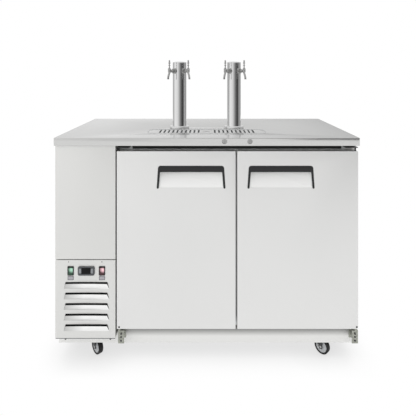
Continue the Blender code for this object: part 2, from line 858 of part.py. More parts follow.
# Drip tray: a pan with a ledge near its rim, and the grille that lies on the ledge
GRATE_TOP = COUNTER_TOP - GRATE_SINK
GRATE_LOW = GRATE_TOP - GRATE_THICK
pan = flat("drip_tray_pan", [tray_ring(SEAT_GAP)], COUNTER_TOP - TRAY_DEPTH, COUNTER_TOP)
cut(
    pan,
    flat(
        "pan_mouth",
        [tray_ring(SEAT_GAP + TRAY_WALL)],
        GRATE_LOW - SEAT_GAP,
        COUNTER_TOP + OVERRUN,
    ),
    flat(
        "pan_hollow",
        [tray_ring(SEAT_GAP + TRAY_WALL + TRAY_LEDGE)],
        COUNTER_TOP - TRAY_DEPTH + TRAY_WALL,
        COUNTER_TOP,
    ),
)
finish(pan, *STAINLESS)

slot_y = (TRAY_FRONT_Y + TRAY_BACK_Y) / 2
rings = [tray_ring(SEAT_GAP + TRAY_WALL + GRATE_CLEAR)]
for side in (-1, 1):
    for column in range(SLOT_COUNT):
        x = side * SLOT_GROUP_X + (column - (SLOT_COUNT - 1) / 2) * SLOT_PITCH
        rings.append(
            rounded(
                x - SLOT_WIDTH / 2,
                x + SLOT_WIDTH / 2,
                slot_y - SLOT_LENGTH / 2,
                slot_y + SLOT_LENGTH / 2,
                SLOT_WIDTH / 2,
                1,
            )
        )
rings.append(
    rounded(
        -FINGER_SLOT_LENGTH / 2,
        FINGER_SLOT_LENGTH / 2,
        slot_y - FINGER_SLOT_WIDTH / 2,
        slot_y + FINGER_SLOT_WIDTH / 2,
        FINGER_SLOT_WIDTH / 2,
        3,
    )
)
grate = flat("drip_grille", rings, GRATE_LOW, GRATE_TOP)
axis_at(grate, (0, slot_y, GRATE_TOP))
finish(grate, *BRIGHT)


# Doors
def door(side, left, right, handle_left, handle_right, pin_x):
    """A door: folded skin, foam core with its raised liner, gasket and handle trim."""
    hinge = (pin_x, DOOR_FRONT + HINGE_IN_Y, (DOOR_LOW + DOOR_TOP) / 2)
    handle_top = DOOR_TOP - HANDLE_TOP_DROP
    handle_low = handle_top - HANDLE_HEIGHT
    inner_left = handle_left + HANDLE_SPLAY + HANDLE_LEG
    inner_right = handle_right - HANDLE_SPLAY - HANDLE_LEG
    scoop_top = handle_top - HANDLE_LIP

    def scoop(name, grow, front):
        deep = DOOR_FRONT + SCOOP_DEPTH + grow
        shallow = DOOR_FRONT + grow
        return loft_block(
            name,
            (inner_left - grow, inner_right + grow, front, shallow + SHEET * SCOOP_HEEL_SHARE),
            (inner_left - grow, inner_right + grow, front, deep),
            handle_low + HANDLE_LIP - grow,
            scoop_top + grow,
        )

    skin = block(side + "_door_skin", (left, DOOR_FRONT, DOOR_LOW), (right, DOOR_BACK, DOOR_TOP))
    soften(skin, DOOR_EDGE_ROUND, 2)
    cut(
        skin,
        block(
            side + "_skin_hollow",
            (left + SHEET, DOOR_FRONT + SHEET, DOOR_LOW + SHEET),
            (right - SHEET, DOOR_BACK + OVERRUN, DOOR_TOP - SHEET),
        ),
    )
    join(skin, scoop(side + "_scoop_back", SHEET, DOOR_FRONT + SHEET / 2))
    cut(skin, scoop(side + "_scoop", 0, DOOR_FRONT - OVERRUN))

    fit = SHEET + SEAT_GAP
    core = block(
        side + "_door_core",
        (left + fit, DOOR_FRONT + fit, DOOR_LOW + fit),
        (right - fit, DOOR_BACK, DOOR_TOP - fit),
    )
    join(
        core,
        block(
            side + "_door_panel",
            (left + DOOR_PANEL_INSET, DOOR_BACK - OVERRUN, DOOR_LOW + DOOR_PANEL_INSET),
            (right - DOOR_PANEL_INSET, DOOR_BACK + DOOR_PANEL_RAISE, DOOR_TOP - DOOR_PANEL_INSET),
        ),
    )
    gasket_in = GASKET_INSET + GASKET_WIDTH

    def frame(outside, inside):
        return [
            rectangle(left + outside, right - outside, DOOR_LOW + outside, DOOR_TOP - outside),
            rectangle(left + inside, right - inside, DOOR_LOW + inside, DOOR_TOP - inside),
        ]

    cut(
        core,
        scoop(side + "_core_scoop", fit, DOOR_FRONT - OVERRUN),
        front_prism(
            side + "_gasket_groove",
            frame(GASKET_INSET - SEAT_GAP, gasket_in + SEAT_GAP),
            DOOR_BACK - CORE_GROOVE,
            DOOR_BACK + OVERRUN,
        ),
    )
    gasket = front_prism(
        side + "_door_gasket",
        frame(GASKET_INSET, gasket_in),
        DOOR_BACK - CORE_GROOVE + SEAT_GAP,
        CABINET_FRONT - SEAT_GAP,
    )
    ring = (
        [(handle_left, handle_low)]
        + arc(
            handle_left + HANDLE_SPLAY + HANDLE_CORNER,
            handle_top - HANDLE_CORNER,
            HANDLE_CORNER,
            180,
            90,
            6,
        )
        + arc(
            handle_right - HANDLE_SPLAY - HANDLE_CORNER,
            handle_top - HANDLE_CORNER,
            HANDLE_CORNER,
            90,
            0,
            6,
        )
        + [
            (handle_right, handle_low),
            (handle_right - HANDLE_LEG, handle_low),
            (inner_right, handle_top - HANDLE_BAR),
            (inner_left, handle_top - HANDLE_BAR),
            (handle_left + HANDLE_LEG, handle_low),
        ]
    )
    trim = front_prism(
        side + "_handle_trim", [ring], DOOR_FRONT - HANDLE_PROUD, DOOR_FRONT - SEAT_GAP
    )
    for name, low, high in (
        ("_lower_pin_bore", DOOR_LOW - OVERRUN, DOOR_LOW + PIN_REACH + PIN_CLEAR),
        ("_upper_pin_bore", DOOR_TOP - PIN_REACH - PIN_CLEAR, DOOR_TOP + OVERRUN),
    ):
        for piece in (skin, core):
            cut(
                piece,
                rod(
                    side + name,
                    PIN_RADIUS + PIN_CLEAR,
                    (pin_x, hinge[1], low),
                    (pin_x, hinge[1], high),
                    16,
                ),
            )
    for piece, look in (
        (skin, STAINLESS),
        (core, WHITE_LINER),
        (gasket, RUBBER),
        (trim, BLACK_PLASTIC),
    ):
        axis_at(piece, hinge)
        finish(piece, *look)


LEFT_PIN_X = LEFT_DOOR_OUT + HINGE_IN_X
RIGHT_PIN_X = RIGHT_DOOR_OUT - HINGE_IN_X
LEFT_HANDLE_END = DOOR_MEETING_X - HANDLE_TO_MEETING
RIGHT_HANDLE_END = DOOR_MEETING_X + HANDLE_TO_MEETING
door(
    "left",
    LEFT_DOOR_OUT,
    LEFT_DOOR_IN,
    LEFT_HANDLE_END - HANDLE_LENGTH_LEFT,
    LEFT_HANDLE_END,
    LEFT_PIN_X,
)
door(
    "right",
    RIGHT_DOOR_IN,
    RIGHT_DOOR_OUT,
    RIGHT_HANDLE_END,
    RIGHT_HANDLE_END + HANDLE_LENGTH_RIGHT,
    RIGHT_PIN_X,
)


# Hinge brackets
def lower_bracket(name, edge, inward, pin_x):
    """A channel standing on the cabinet's front, closed on top by the plate that holds the pin."""
    low = DOOR_LOW - BRACKET_DROP - BRACKET_HEIGHT
    top = DOOR_LOW - BRACKET_DROP
    front = DOOR_FRONT + BRACKET_SETBACK
    back = KICK_FRONT - SEAT_GAP
    side = edge + inward * BRACKET_PLATE
    far = edge + inward * BRACKET_WIDTH
    ring = [
        (edge, front),
        (far, front),
        (far, front + BRACKET_PLATE),
        (side, front + BRACKET_PLATE),
        (side, back - BRACKET_PLATE),
        (far, back - BRACKET_PLATE),
        (far, back),
        (edge, back),
    ]
    bracket = flat(name, [ring], low, top - BRACKET_PLATE / 2)
    join(
        bracket,
        block(
            name + "_top",
            (min(edge, far), front, top - BRACKET_PLATE),
            (max(edge, far), back, top),
        ),
        rod(
            name + "_pin",
            PIN_RADIUS,
            (pin_x, DOOR_FRONT + HINGE_IN_Y, top - BRACKET_PLATE / 2),
            (pin_x, DOOR_FRONT + HINGE_IN_Y, DOOR_LOW + PIN_REACH),
            16,
        ),
        rod(
            name + "_washer",
            PIN_RADIUS * WASHER_SHARE,
            (pin_x, DOOR_FRONT + HINGE_IN_Y, top - BRACKET_PLATE / 2),
            (pin_x, DOOR_FRONT + HINGE_IN_Y, DOOR_LOW - SEAT_GAP),
            16,
        ),
    )
    hole_x = (side + far) / 2
    for row in range(BRACKET_HOLE_COUNT):
        z = (low + top) / 2 + (row - (BRACKET_HOLE_COUNT - 1) / 2) * BRACKET_HOLE_PITCH
        cut(
            bracket,
            rod(
                name + "_hole",
                BRACKET_HOLE_RADIUS,
                (hole_x, front - OVERRUN, z),
                (hole_x, front + BRACKET_PLATE + OVERRUN, z),
                14,
            ),
        )
    finish(bracket, *GALVANISED)


lower_bracket("left_lower_hinge", LEFT_DOOR_OUT + BAY_GAP, 1, LEFT_PIN_X)
lower_bracket("right_lower_hinge", BODY_RIGHT, -1, RIGHT_PIN_X)


def upper_bracket(name, edge, inward, pin_x):
    """An angle in the gap over the door, with the pin that reaches down into it."""
    top = COUNTER_LOW - SEAT_GAP
    low = top - TOP_BRACKET_DROP
    far = edge + inward * TOP_BRACKET_WIDTH
    front = DOOR_FRONT + BRACKET_SETBACK
    back = CABINET_FRONT - SEAT_GAP
    ring = [
        (front, low),
        (back, low),
        (back, top),
        (back - BRACKET_PLATE, top),
        (back - BRACKET_PLATE, low + BRACKET_PLATE),
        (front, low + BRACKET_PLATE),
    ]
    bracket = side_prism(name, ring, min(edge, far), max(edge, far))
    join(
        bracket,
        rod(
            name + "_pin",
            PIN_RADIUS,
            (pin_x, DOOR_FRONT + HINGE_IN_Y, DOOR_TOP - PIN_REACH),
            (pin_x, DOOR_FRONT + HINGE_IN_Y, low + BRACKET_PLATE / 2),
            16,
        ),
    )
    finish(bracket, *BLACK_ENAMEL)


upper_bracket("left_upper_hinge", LEFT_DOOR_OUT, 1, LEFT_PIN_X)
upper_bracket("right_upper_hinge", BODY_RIGHT, -1, RIGHT_PIN_X)


# Draft towers: column with its foot flange, and a domed cap
def placed(x, y, turn_deg, z=0):
    return Matrix.Translation((x, y, z)) @ Matrix.Rotation(math.radians(turn_deg), 4, "Z")


for side, x in (("left", -TOWER_X), ("right", TOWER_X)):
    foot = COUNTER_TOP + SEAT_GAP
    top = foot + TOWER_HEIGHT
    column = turned(
        side + "_tower_column",
        [
            (TOWER_RADIUS, top),
            (TOWER_RADIUS, foot + TOWER_FLANGE_HEIGHT),
            (TOWER_FLANGE_RADIUS - TOWER_WALL, foot + TOWER_FLANGE_HEIGHT),
            (TOWER_FLANGE_RADIUS, foot + TOWER_FLANGE_HEIGHT - TOWER_WALL),
            (TOWER_FLANGE_RADIUS, foot),
            (TOWER_BORE, foot),
            (TOWER_BORE, top),
        ],
        (x, TOWER_Y, 0),
        24,
        True,
    )
    cap = turned(
        side + "_tower_cap",
        [
            (0, top + SEAT_GAP + CAP_HEIGHT + CAP_DOME),
            (TOWER_RADIUS * CAP_CROWN_SHARE, top + SEAT_GAP + CAP_HEIGHT + CAP_DOME),
            (TOWER_RADIUS - CAP_DOME, top + SEAT_GAP + CAP_HEIGHT + CAP_DOME / 2),
            (TOWER_RADIUS, top + SEAT_GAP + CAP_HEIGHT),
            (TOWER_RADIUS, top + SEAT_GAP),
            (TOWER_BORE - SEAT_GAP, top + SEAT_GAP),
            (TOWER_BORE - SEAT_GAP, top - CAP_PLUG),
            (0, top - CAP_PLUG),
        ],
        (x, TOWER_Y, 0),
        24,
    )
    for hand, sign in (("left", -1), ("right", 1)):
        name = side + "_tower_" + hand + "_"
        place = placed(x, TOWER_Y, -90 + sign * FAUCET_TURN_DEG, COUNTER_TOP + SHANK_HEIGHT)
        bore = rod(
            name + "shank_bore",
            SHANK_RADIUS + SEAT_GAP,
            (TOWER_BORE - OVERRUN, 0, 0),
            (TOWER_RADIUS + OVERRUN, 0, 0),
            14,
        )
        bore.data.transform(place)
        cut(column, bore)
        reach = FAUCET_REACH
        faucet = rod(
            name + "faucet",
            SHANK_RADIUS,
            (TOWER_RADIUS - SHANK_INSIDE, 0, 0),
            (reach + SHANK_SINK, 0, 0),
            12,
        )
        collar = rod(
            name + "collar",
            COLLAR_RADIUS,
            (TOWER_RADIUS + SEAT_GAP, 0, 0),
            (TOWER_RADIUS + SEAT_GAP + COLLAR_LENGTH, 0, 0),
            14,
        )
        body = turned(
            name + "body",
            [
                (0, FAUCET_BODY_RISE),
                (FAUCET_BODY_RADIUS, FAUCET_BODY_RISE),
                (FAUCET_BODY_RADIUS * BODY_SWELL_SHARE, FAUCET_BODY_RISE * BODY_SWELL_SHARE / 2),
                (FAUCET_BODY_RADIUS * BODY_SWELL_SHARE, -FAUCET_BODY_DROP / 2),
                (SPOUT_RADIUS, -FAUCET_BODY_DROP),
                (0, -FAUCET_BODY_DROP),
            ],
            (reach, 0, 0),
            12,
        )
        run = []
        for step in range(SPOUT_POINT_COUNT + 1):
            share = step / SPOUT_POINT_COUNT
            out = SPOUT_OUT * math.sin(share * math.pi / 2)
            fall = SPOUT_DROP * share - FAUCET_BODY_DROP / 2 * (1 - share)
            run.append((reach + out, 0, -fall - FAUCET_BODY_DROP * (1 - share)))
        spout = tube(name + "spout", run, SPOUT_RADIUS, 1)
        socket = ball(
            name + "socket", LEVER_BALL_RADIUS + SOCKET_CLEAR, (reach, 0, FAUCET_BODY_RISE + SOCKET_CLEAR)
        )
        for piece in (faucet, collar, body, spout, socket):
            piece.data.transform(place)
        join(faucet, collar, body, spout)
        cut(faucet, socket)
        finish(faucet, *CHROME)

        length = LEVER_TOP - SHANK_HEIGHT - FAUCET_BODY_RISE
        stem = LEVER_RADIUS * LEVER_SHARES[-1][0]
        meet = math.degrees(math.acos(stem / LEVER_BALL_RADIUS))
        lever = turned(
            name + "lever",
            [(0, length)]
            + [(LEVER_RADIUS * wide, length * high) for wide, high in LEVER_SHARES]
            + arc(0, 0, LEVER_BALL_RADIUS, meet, -70, 4)
            + [(0, -LEVER_BALL_RADIUS)],
            steps=9,
        )
        lever.data.transform(
            place @ Matrix.Translation((reach, 0, FAUCET_BODY_RISE + SOCKET_CLEAR))
        )
        axis_at(lever, place @ Vector((reach, 0, FAUCET_BODY_RISE + SOCKET_CLEAR)))
        finish(lever, *CHROME)
    finish(column, *CHROME)
    finish(cap, *CHROME)

# Castors: fork that swivels on the kingpin, and the wheel on its axle
BEARING_LOW = FORK_TOP - BEARING_HEIGHT
FORK_INNER = FORK_WIDTH / 2 - FORK_SHEET
FORK_MIDDLE = FORK_WIDTH / 2 - FORK_SHEET / 2
for where, x, y in CASTOR_PLACES:
    place = placed(x, y, -CASTOR_REST_DEG)
    fork = block(
        "castor_fork_" + where,
        (-FORK_REACH, -FORK_MIDDLE, BEARING_LOW - FORK_SHEET),
        (FORK_REACH, FORK_MIDDLE, BEARING_LOW),
    )
    bearing = rod(
        where + "_bearing",
        BEARING_RADIUS,
        (0, 0, BEARING_LOW - BEARING_SINK),
        (0, 0, FORK_TOP),
        16,
    )
    leg = (
        [(-BEARING_RADIUS, BEARING_LOW - LEG_SINK), (BEARING_RADIUS, BEARING_LOW - LEG_SINK)]
        + arc(CASTOR_TRAIL, WHEEL_RADIUS, HUB_RADIUS, 30, -190, 7)
    )
    near = front_prism(where + "_near_leg", [leg], -FORK_WIDTH / 2, -FORK_INNER)
    far = front_prism(where + "_far_leg", [leg], FORK_INNER, FORK_WIDTH / 2)
    axle = rod(
        where + "_axle",
        AXLE_RADIUS,
        (CASTOR_TRAIL, -FORK_WIDTH / 2 - AXLE_PROUD, WHEEL_RADIUS),
        (CASTOR_TRAIL, FORK_WIDTH / 2 + AXLE_PROUD, WHEEL_RADIUS),
        12,
    )
    king = rod(
        where + "_king_bore",
        KINGPIN_RADIUS + SEAT_GAP,
        (0, 0, BEARING_LOW - FORK_SHEET - OVERRUN),
        (0, 0, FORK_TOP + OVERRUN),
        12,
    )
    for piece in (fork, bearing, near, far, axle, king):
        piece.data.transform(place)
    join(fork, bearing, near, far, axle)
    cut(fork, king)
    axis_at(fork, (x, y, BEARING_LOW))
    finish(fork, *GALVANISED)

    half = WHEEL_WIDTH / 2
    hub = FORK_INNER - SEAT_GAP
    rim = WHEEL_RADIUS * RIM_SHARE
    bore_radius = AXLE_RADIUS + SEAT_GAP
    wheel = turned(
        "castor_wheel_" + where,
        [
            (bore_radius, hub),
            (HUB_RADIUS * HUB_SHARE, hub),
            (HUB_RADIUS * HUB_SHARE, half - RIM_DISH),
            (rim, half - RIM_DISH),
            (WHEEL_RADIUS - TREAD_ROUND, half),
            (WHEEL_RADIUS, half - TREAD_ROUND),
            (WHEEL_RADIUS, -half + TREAD_ROUND),
            (WHEEL_RADIUS - TREAD_ROUND, -half),
            (rim, -half + RIM_DISH),
            (HUB_RADIUS * HUB_SHARE, -half + RIM_DISH),
            (HUB_RADIUS * HUB_SHARE, -hub),
            (bore_radius, -hub),
        ],
        steps=20,
        closed=True,
    )
    centre = place @ Vector((CASTOR_TRAIL, 0, WHEEL_RADIUS))
    wheel.data.transform(
        Matrix.Translation(centre)
        @ Matrix.Rotation(math.radians(-CASTOR_REST_DEG), 4, "Z")
        @ Matrix.Rotation(math.radians(90), 4, "X")
    )
    axis_at(wheel, centre)
    finish(wheel, *RUBBER)


# Front panels of the compressor bay: trays of sheet, open to the back
def tray(name, low, high):
    """A panel with its four edges folded back to the cabinet's front."""
    back = CABINET_FRONT - SEAT_GAP
    panel = block(name, (BAY_LEFT, DOOR_FRONT, low), (PANEL_RIGHT_X, back, high))
    soften(panel, DOOR_EDGE_ROUND, 2)
    return cut(
        panel,
        block(
            name + "_hollow",
            (BAY_LEFT + PANEL_SHEET, DOOR_FRONT + PANEL_SHEET, low + PANEL_SHEET),
            (PANEL_RIGHT_X - PANEL_SHEET, back + OVERRUN, high - PANEL_SHEET),
        ),
    )


upper_cover = tray(
    "upper_cover", COVER_SPLIT + COVER_SPLIT_GAP / 2, COUNTER_LOW - BAY_TOP_GAP
)
finish(upper_cover, *STAINLESS)

louvred = tray("louvre_panel", LOUVRE_BOTTOM, COVER_SPLIT - COVER_SPLIT_GAP / 2)
half = LOUVRE_LENGTH / 2
for row in range(LOUVRE_COUNT):
    high = LOUVRE_TOP - row * LOUVRE_PITCH
    low = high - LOUVRE_HEIGHT
    blade = loft_block(
        f"louvre_{row}",
        (LOUVRE_X - half, LOUVRE_X + half, DOOR_FRONT + PANEL_SHEET / 4, DOOR_FRONT + PANEL_SHEET / 2),
        (
            LOUVRE_X - half + LOUVRE_TAPER,
            LOUVRE_X + half - LOUVRE_TAPER,
            DOOR_FRONT - LOUVRE_PROUD,
            DOOR_FRONT + PANEL_SHEET / 2,
        ),
        low,
        high,
    )
    mouth = loft_block(
        f"louvre_mouth_{row}",
        (
            LOUVRE_X - half + PANEL_SHEET,
            LOUVRE_X + half - PANEL_SHEET,
            DOOR_FRONT + PANEL_SHEET,
            DOOR_FRONT + PANEL_SHEET + OVERRUN,
        ),
        (
            LOUVRE_X - half + LOUVRE_TAPER + PANEL_SHEET,
            LOUVRE_X + half - LOUVRE_TAPER - PANEL_SHEET,
            DOOR_FRONT - LOUVRE_PROUD + PANEL_SHEET,
            DOOR_FRONT + PANEL_SHEET + OVERRUN,
        ),
        low + PANEL_SHEET,
        high + LOUVRE_SLIT,
    )
    join(louvred, blade)
    cut(louvred, mouth)

# Controls in the louvred panel
BEZEL_FRONT = DOOR_FRONT - CONTROL_PROUD
half_width = CONTROL_WIDTH / 2
half_height = CONTROL_HEIGHT / 2
body_back = DOOR_FRONT + PANEL_SHEET + CONTROL_BODY_DEPTH


def upright(x, z, width, height, grow, radius):
    """A round-cornered outline in X and Z round a middle."""
    return rounded(
        x - width / 2 - grow,
        x + width / 2 + grow,
        z - height / 2 - grow,
        z + height / 2 + grow,
        radius,
        3,
    )


case = front_prism(
    "controller_case",
    [upright(CONTROL_X, CONTROL_Z, CONTROL_WIDTH, CONTROL_HEIGHT, 0, CONTROL_ROUND)],
    BEZEL_FRONT,
    DOOR_FRONT - SEAT_GAP,
)
soften(case, CONTROL_ROUND / 3, 2, 60)
back_grow = -CONTROL_BODY_INSET
join(
    case,
    front_prism(
        "controller_body",
        [upright(CONTROL_X, CONTROL_Z, CONTROL_WIDTH, CONTROL_HEIGHT, back_grow, CONTROL_ROUND / 2)],
        BEZEL_FRONT + CONTROL_PROUD / 2,
        body_back,
    ),
)
cut(
    case,
    front_prism(
        "display_recess",
        [upright(CONTROL_X, CONTROL_Z, DISPLAY_WIDTH, DISPLAY_HEIGHT, 0, CONTROL_ROUND / 3)],
        BEZEL_FRONT - OVERRUN,
        BEZEL_FRONT + DISPLAY_DEPTH,
    ),
)
cut(
    louvred,
    front_prism(
        "controller_hole",
        [
            upright(
                CONTROL_X,
                CONTROL_Z,
                CONTROL_WIDTH,
                CONTROL_HEIGHT,
                back_grow + SEAT_GAP,
                CONTROL_ROUND / 2,
            )
        ],
        DOOR_FRONT - OVERRUN,
        DOOR_FRONT + PANEL_SHEET + OVERRUN,
    ),
)
for hand, sign in (("left", -1), ("right", 1)):
    key_x = CONTROL_X + sign * KEY_OFFSET
    key_back = BEZEL_FRONT - KEY_PROUD + KEY_DEPTH
    key = front_prism(
        "controller_" + hand + "_key",
        [upright(key_x, CONTROL_Z, KEY_WIDTH, KEY_HEIGHT, 0, CONTROL_ROUND / 3)],
        BEZEL_FRONT - KEY_PROUD,
        key_back,
    )
    soften(key, KEY_PROUD / 3, 2, 60)
    cut(
        case,
        front_prism(
            hand + "_key_well",
            [upright(key_x, CONTROL_Z, KEY_WIDTH, KEY_HEIGHT, SEAT_GAP, CONTROL_ROUND / 3)],
            BEZEL_FRONT - OVERRUN,
            key_back + KEY_TRAVEL + SEAT_GAP,
        ),
    )
    axis_at(key, (key_x, BEZEL_FRONT - KEY_PROUD, CONTROL_Z))
    finish(key, *GREY_PLASTIC)
finish(case, *GREY_PLASTIC)

for hand, sign in (("left", -1), ("right", 1)):
    x = CONTROL_X + sign * SWITCH_OFFSET
    inside_height = SWITCH_HEIGHT - SWITCH_RIM * 2
    front = DOOR_FRONT - SWITCH_PROUD
    frame = front_prism(
        "switch_" + hand + "_frame",
        [upright(x, CONTROL_Z, SWITCH_WIDTH, SWITCH_HEIGHT, 0, CONTROL_ROUND)],
        front,
        DOOR_FRONT - SEAT_GAP,
    )
    join(
        frame,
        front_prism(
            hand + "_switch_body",
            [upright(x, CONTROL_Z, SWITCH_WIDTH, SWITCH_HEIGHT, -SWITCH_RIM / 2, CONTROL_ROUND / 2)],
            DOOR_FRONT - SWITCH_PROUD / 2,
            DOOR_FRONT + PANEL_SHEET + SWITCH_BODY_DEPTH,
        ),
    )
    cut(
        frame,
        front_prism(
            hand + "_switch_well",
            [upright(x, CONTROL_Z, SWITCH_WIDTH, SWITCH_HEIGHT, -SWITCH_RIM, CONTROL_ROUND / 3)],
            front - OVERRUN,
            DOOR_FRONT + ROCKER_WELL,
        ),
    )
    cut(
        louvred,
        front_prism(
            hand + "_switch_hole",
            [
                upright(
                    x,
                    CONTROL_Z,
                    SWITCH_WIDTH,
                    SWITCH_HEIGHT,
                    SEAT_GAP - SWITCH_RIM / 2,
                    CONTROL_ROUND / 2,
                )
            ],
            DOOR_FRONT - OVERRUN,
            DOOR_FRONT + PANEL_SHEET + OVERRUN,
        ),
    )
    pivot = (x, DOOR_FRONT + ROCKER_PIVOT_DEPTH, CONTROL_Z)
    reach = inside_height / 2 - ROCKER_CLEAR
    wide = SWITCH_WIDTH / 2 - SWITCH_RIM
    dip = math.radians(ROCKER_ANGLE_DEG)
    swing = ROCKER_PIVOT_DEPTH + ROCKER_PROUD
    ring = [
        (-swing, -reach * math.cos(dip)),
        (-swing + reach * math.sin(dip) * ROCKER_DISH_SHARE, 0),
        (-swing, reach * math.cos(dip)),
        (0, reach * ROCKER_ROOT_SHARE),
        (0, -reach * ROCKER_ROOT_SHARE),
    ]
    rocker = side_prism(
        "switch_" + hand + "_rocker", ring, -wide + ROCKER_SIDE_GAP, wide - ROCKER_SIDE_GAP
    )
    stub = rod(hand + "_rocker_pivot", ROCKER_PIN, (-wide + SEAT_GAP, 0, 0), (wide - SEAT_GAP, 0, 0), 12)
    for piece in (rocker, stub):
        piece.data.transform(Matrix.Rotation(dip / 2, 4, "X"))
        piece.data.transform(Matrix.Translation(pivot))
    join(rocker, stub)
    axis_at(rocker, pivot)
    finish(frame, *BLACK_PLASTIC)
    finish(rocker, *BLACK_PLASTIC)
finish(louvred, *STAINLESS)


# Refrigeration in the bay
foot_low = BASE_TOP + SEAT_GAP
can_low = foot_low + FOOT_THICK * 2
compressor = turned(
    "compressor",
    [(0, can_low + COMPRESSOR_HEIGHT)]
    + [
        (COMPRESSOR_RADIUS * wide, can_low + COMPRESSOR_HEIGHT * high)
        for wide, high in COMPRESSOR_SHARES
    ]
    + [(0, can_low)],
    (COMPRESSOR_X, COMPRESSOR_Y, 0),
    18,
)
feet = block(
    "compressor_feet",
    (COMPRESSOR_X - FOOT_WIDTH / 2, COMPRESSOR_Y - FOOT_LENGTH / 2, foot_low),
    (COMPRESSOR_X + FOOT_WIDTH / 2, COMPRESSOR_Y + FOOT_LENGTH / 2, foot_low + FOOT_THICK),
)
stand = rod(
    "compressor_stand",
    COMPRESSOR_RADIUS * COMPRESSOR_SHARES[-1][0],
    (COMPRESSOR_X, COMPRESSOR_Y, foot_low + FOOT_THICK / 2),
    (COMPRESSOR_X, COMPRESSOR_Y, can_low + FOOT_THICK),
    20,
)
line_z = can_low + COMPRESSOR_HEIGHT * LINE_HEIGHT_SHARE
line = []
for step in range(LINE_POINT_COUNT + 1):
    swing = math.pi / 2 * step / LINE_POINT_COUNT
    line.append(
        (
            COMPRESSOR_X + COMPRESSOR_RADIUS * LINE_START_SHARE + LINE_BEND * math.sin(swing),
            COMPRESSOR_Y,
            line_z + LINE_BEND * (1 - math.cos(swing)),
        )
    )
line.append((line[-1][0], COMPRESSOR_Y, line_z + LINE_BEND + LINE_RISE))
join(compressor, feet, stand, tube("compressor_line", line, LINE_RADIUS, 1))
finish(compressor, *BLACK_ENAMEL)


def finned(name, left, right, front, back, low, high):
    """A coil block whose fins show on both faces."""
    near, far = [], []
    pitch = (right - left) / COIL_FIN_COUNT
    for fin in range(COIL_FIN_COUNT):
        start = left + fin * pitch
        groove = start + pitch - COIL_FIN_SLOT
        near += [(start, front), (groove, front)]
        far += [(start, back), (groove, back)]
        if fin < COIL_FIN_COUNT - 1:
            near += [(groove, front + COIL_FIN_DEPTH), (start + pitch, front + COIL_FIN_DEPTH)]
            far += [(groove, back - COIL_FIN_DEPTH), (start + pitch, back - COIL_FIN_DEPTH)]
    return flat(name, [near + far[::-1]], low, high)


bay_middle = (BAY_LEFT + BAY_RIGHT) / 2
coil_front = DOOR_FRONT + COIL_FRONT_GAP
coil_back = coil_front + COIL_DEPTH
coil = finned(
    "condenser",
    bay_middle - COIL_WIDTH / 2,
    bay_middle + COIL_WIDTH / 2,
    coil_front,
    coil_back,
    foot_low + SHROUD_LAP,
    foot_low + COIL_HEIGHT,
)


def fan_mount(name, hole_radius, length):
    """Motor, shaft and the arms that carry them, shaft towards +Z from the arms' plane."""
    motor = rod(name + "_motor", MOTOR_RADIUS, (0, 0, -length), (0, 0, SPIDER_SINK), 20)
    shaft = rod(
        name + "_shaft",
        SHAFT_RADIUS,
        (0, 0, -MOTOR_SPACE),
        (0, 0, MOTOR_SPACE + FAN_HUB_LENGTH - SHAFT_SINK),
        12,
    )
    pieces = [motor, shaft]
    for arm in range(SPIDER_COUNT):
        bar = block(
            f"{name}_arm_{arm}",
            (MOTOR_RADIUS / 2, -SPIDER_WIDTH / 2, -SPIDER_THICK),
            (hole_radius + SPIDER_SINK, SPIDER_WIDTH / 2, 0),
        )
        bar.data.transform(Matrix.Rotation(math.radians(90 + 360 * arm / SPIDER_COUNT), 4, "Z"))
        pieces.append(bar)
    return pieces


def fan(name, radius, place):
    """A hub with pitched blades, bored for the shaft, at the arms' plane and along +Z."""
    hub_low = MOTOR_SPACE
    wheel = rod(name, FAN_HUB_RADIUS, (0, 0, hub_low), (0, 0, hub_low + FAN_HUB_LENGTH), 16)
    blades = []
    for number in range(FAN_BLADE_COUNT):
        blade = block(
            f"{name}_blade_{number}",
            (FAN_HUB_RADIUS / 2, -FAN_BLADE_CHORD / 2, -FAN_BLADE_THICK / 2),
            (radius, FAN_BLADE_CHORD / 2, FAN_BLADE_THICK / 2),
        )
        blade.data.transform(
            Matrix.Translation((0, 0, hub_low + FAN_HUB_LENGTH / 2))
            @ Matrix.Rotation(math.radians(360 * number / FAN_BLADE_COUNT), 4, "Z")
            @ Matrix.Rotation(math.radians(FAN_PITCH_DEG), 4, "X")
        )
        blades.append(blade)
    bore = rod(
        name + "_bore",
        SHAFT_RADIUS + SEAT_GAP,
        (0, 0, hub_low - OVERRUN),
        (0, 0, hub_low + FAN_HUB_LENGTH + OVERRUN),
        12,
    )
    for piece in (wheel, bore, *blades):
        piece.data.transform(place)
    join(wheel, *blades)
    cut(wheel, bore)
    axis_at(wheel, place @ Vector((0, 0, 0)))
    finish(wheel, *ALUMINIUM)


# Condenser fan in its shroud behind the coil
shroud_front = coil_back - COIL_FIN_DEPTH - SHROUD_THICK
shroud_back = coil_back + SHROUD_DEPTH
shroud_half = COIL_WIDTH / 2 + SHROUD_LAP
shroud_top = foot_low + COIL_HEIGHT + SHROUD_LAP
shroud = block(
    "condenser_shroud_box",
    (bay_middle - shroud_half, shroud_front, foot_low),
    (bay_middle + shroud_half, shroud_back, shroud_top),
)
fan_z = foot_low + COIL_HEIGHT / 2
hole = CONDENSER_FAN_RADIUS + FAN_TIP_GAP
cut(
    shroud,
    block(
        "shroud_hollow",
        (
            bay_middle - shroud_half + SHROUD_THICK,
            coil_back - COIL_FIN_DEPTH / 2,
            foot_low + SHROUD_THICK,
        ),
        (
            bay_middle + shroud_half - SHROUD_THICK,
            shroud_back - SHROUD_THICK,
            shroud_top - SHROUD_THICK,
        ),
    ),
    rod(
        "shroud_hole",
        hole,
        (bay_middle, shroud_back - OVERRUN, fan_z),
        (bay_middle, shroud_back + OVERRUN, fan_z),
        28,
    ),
)
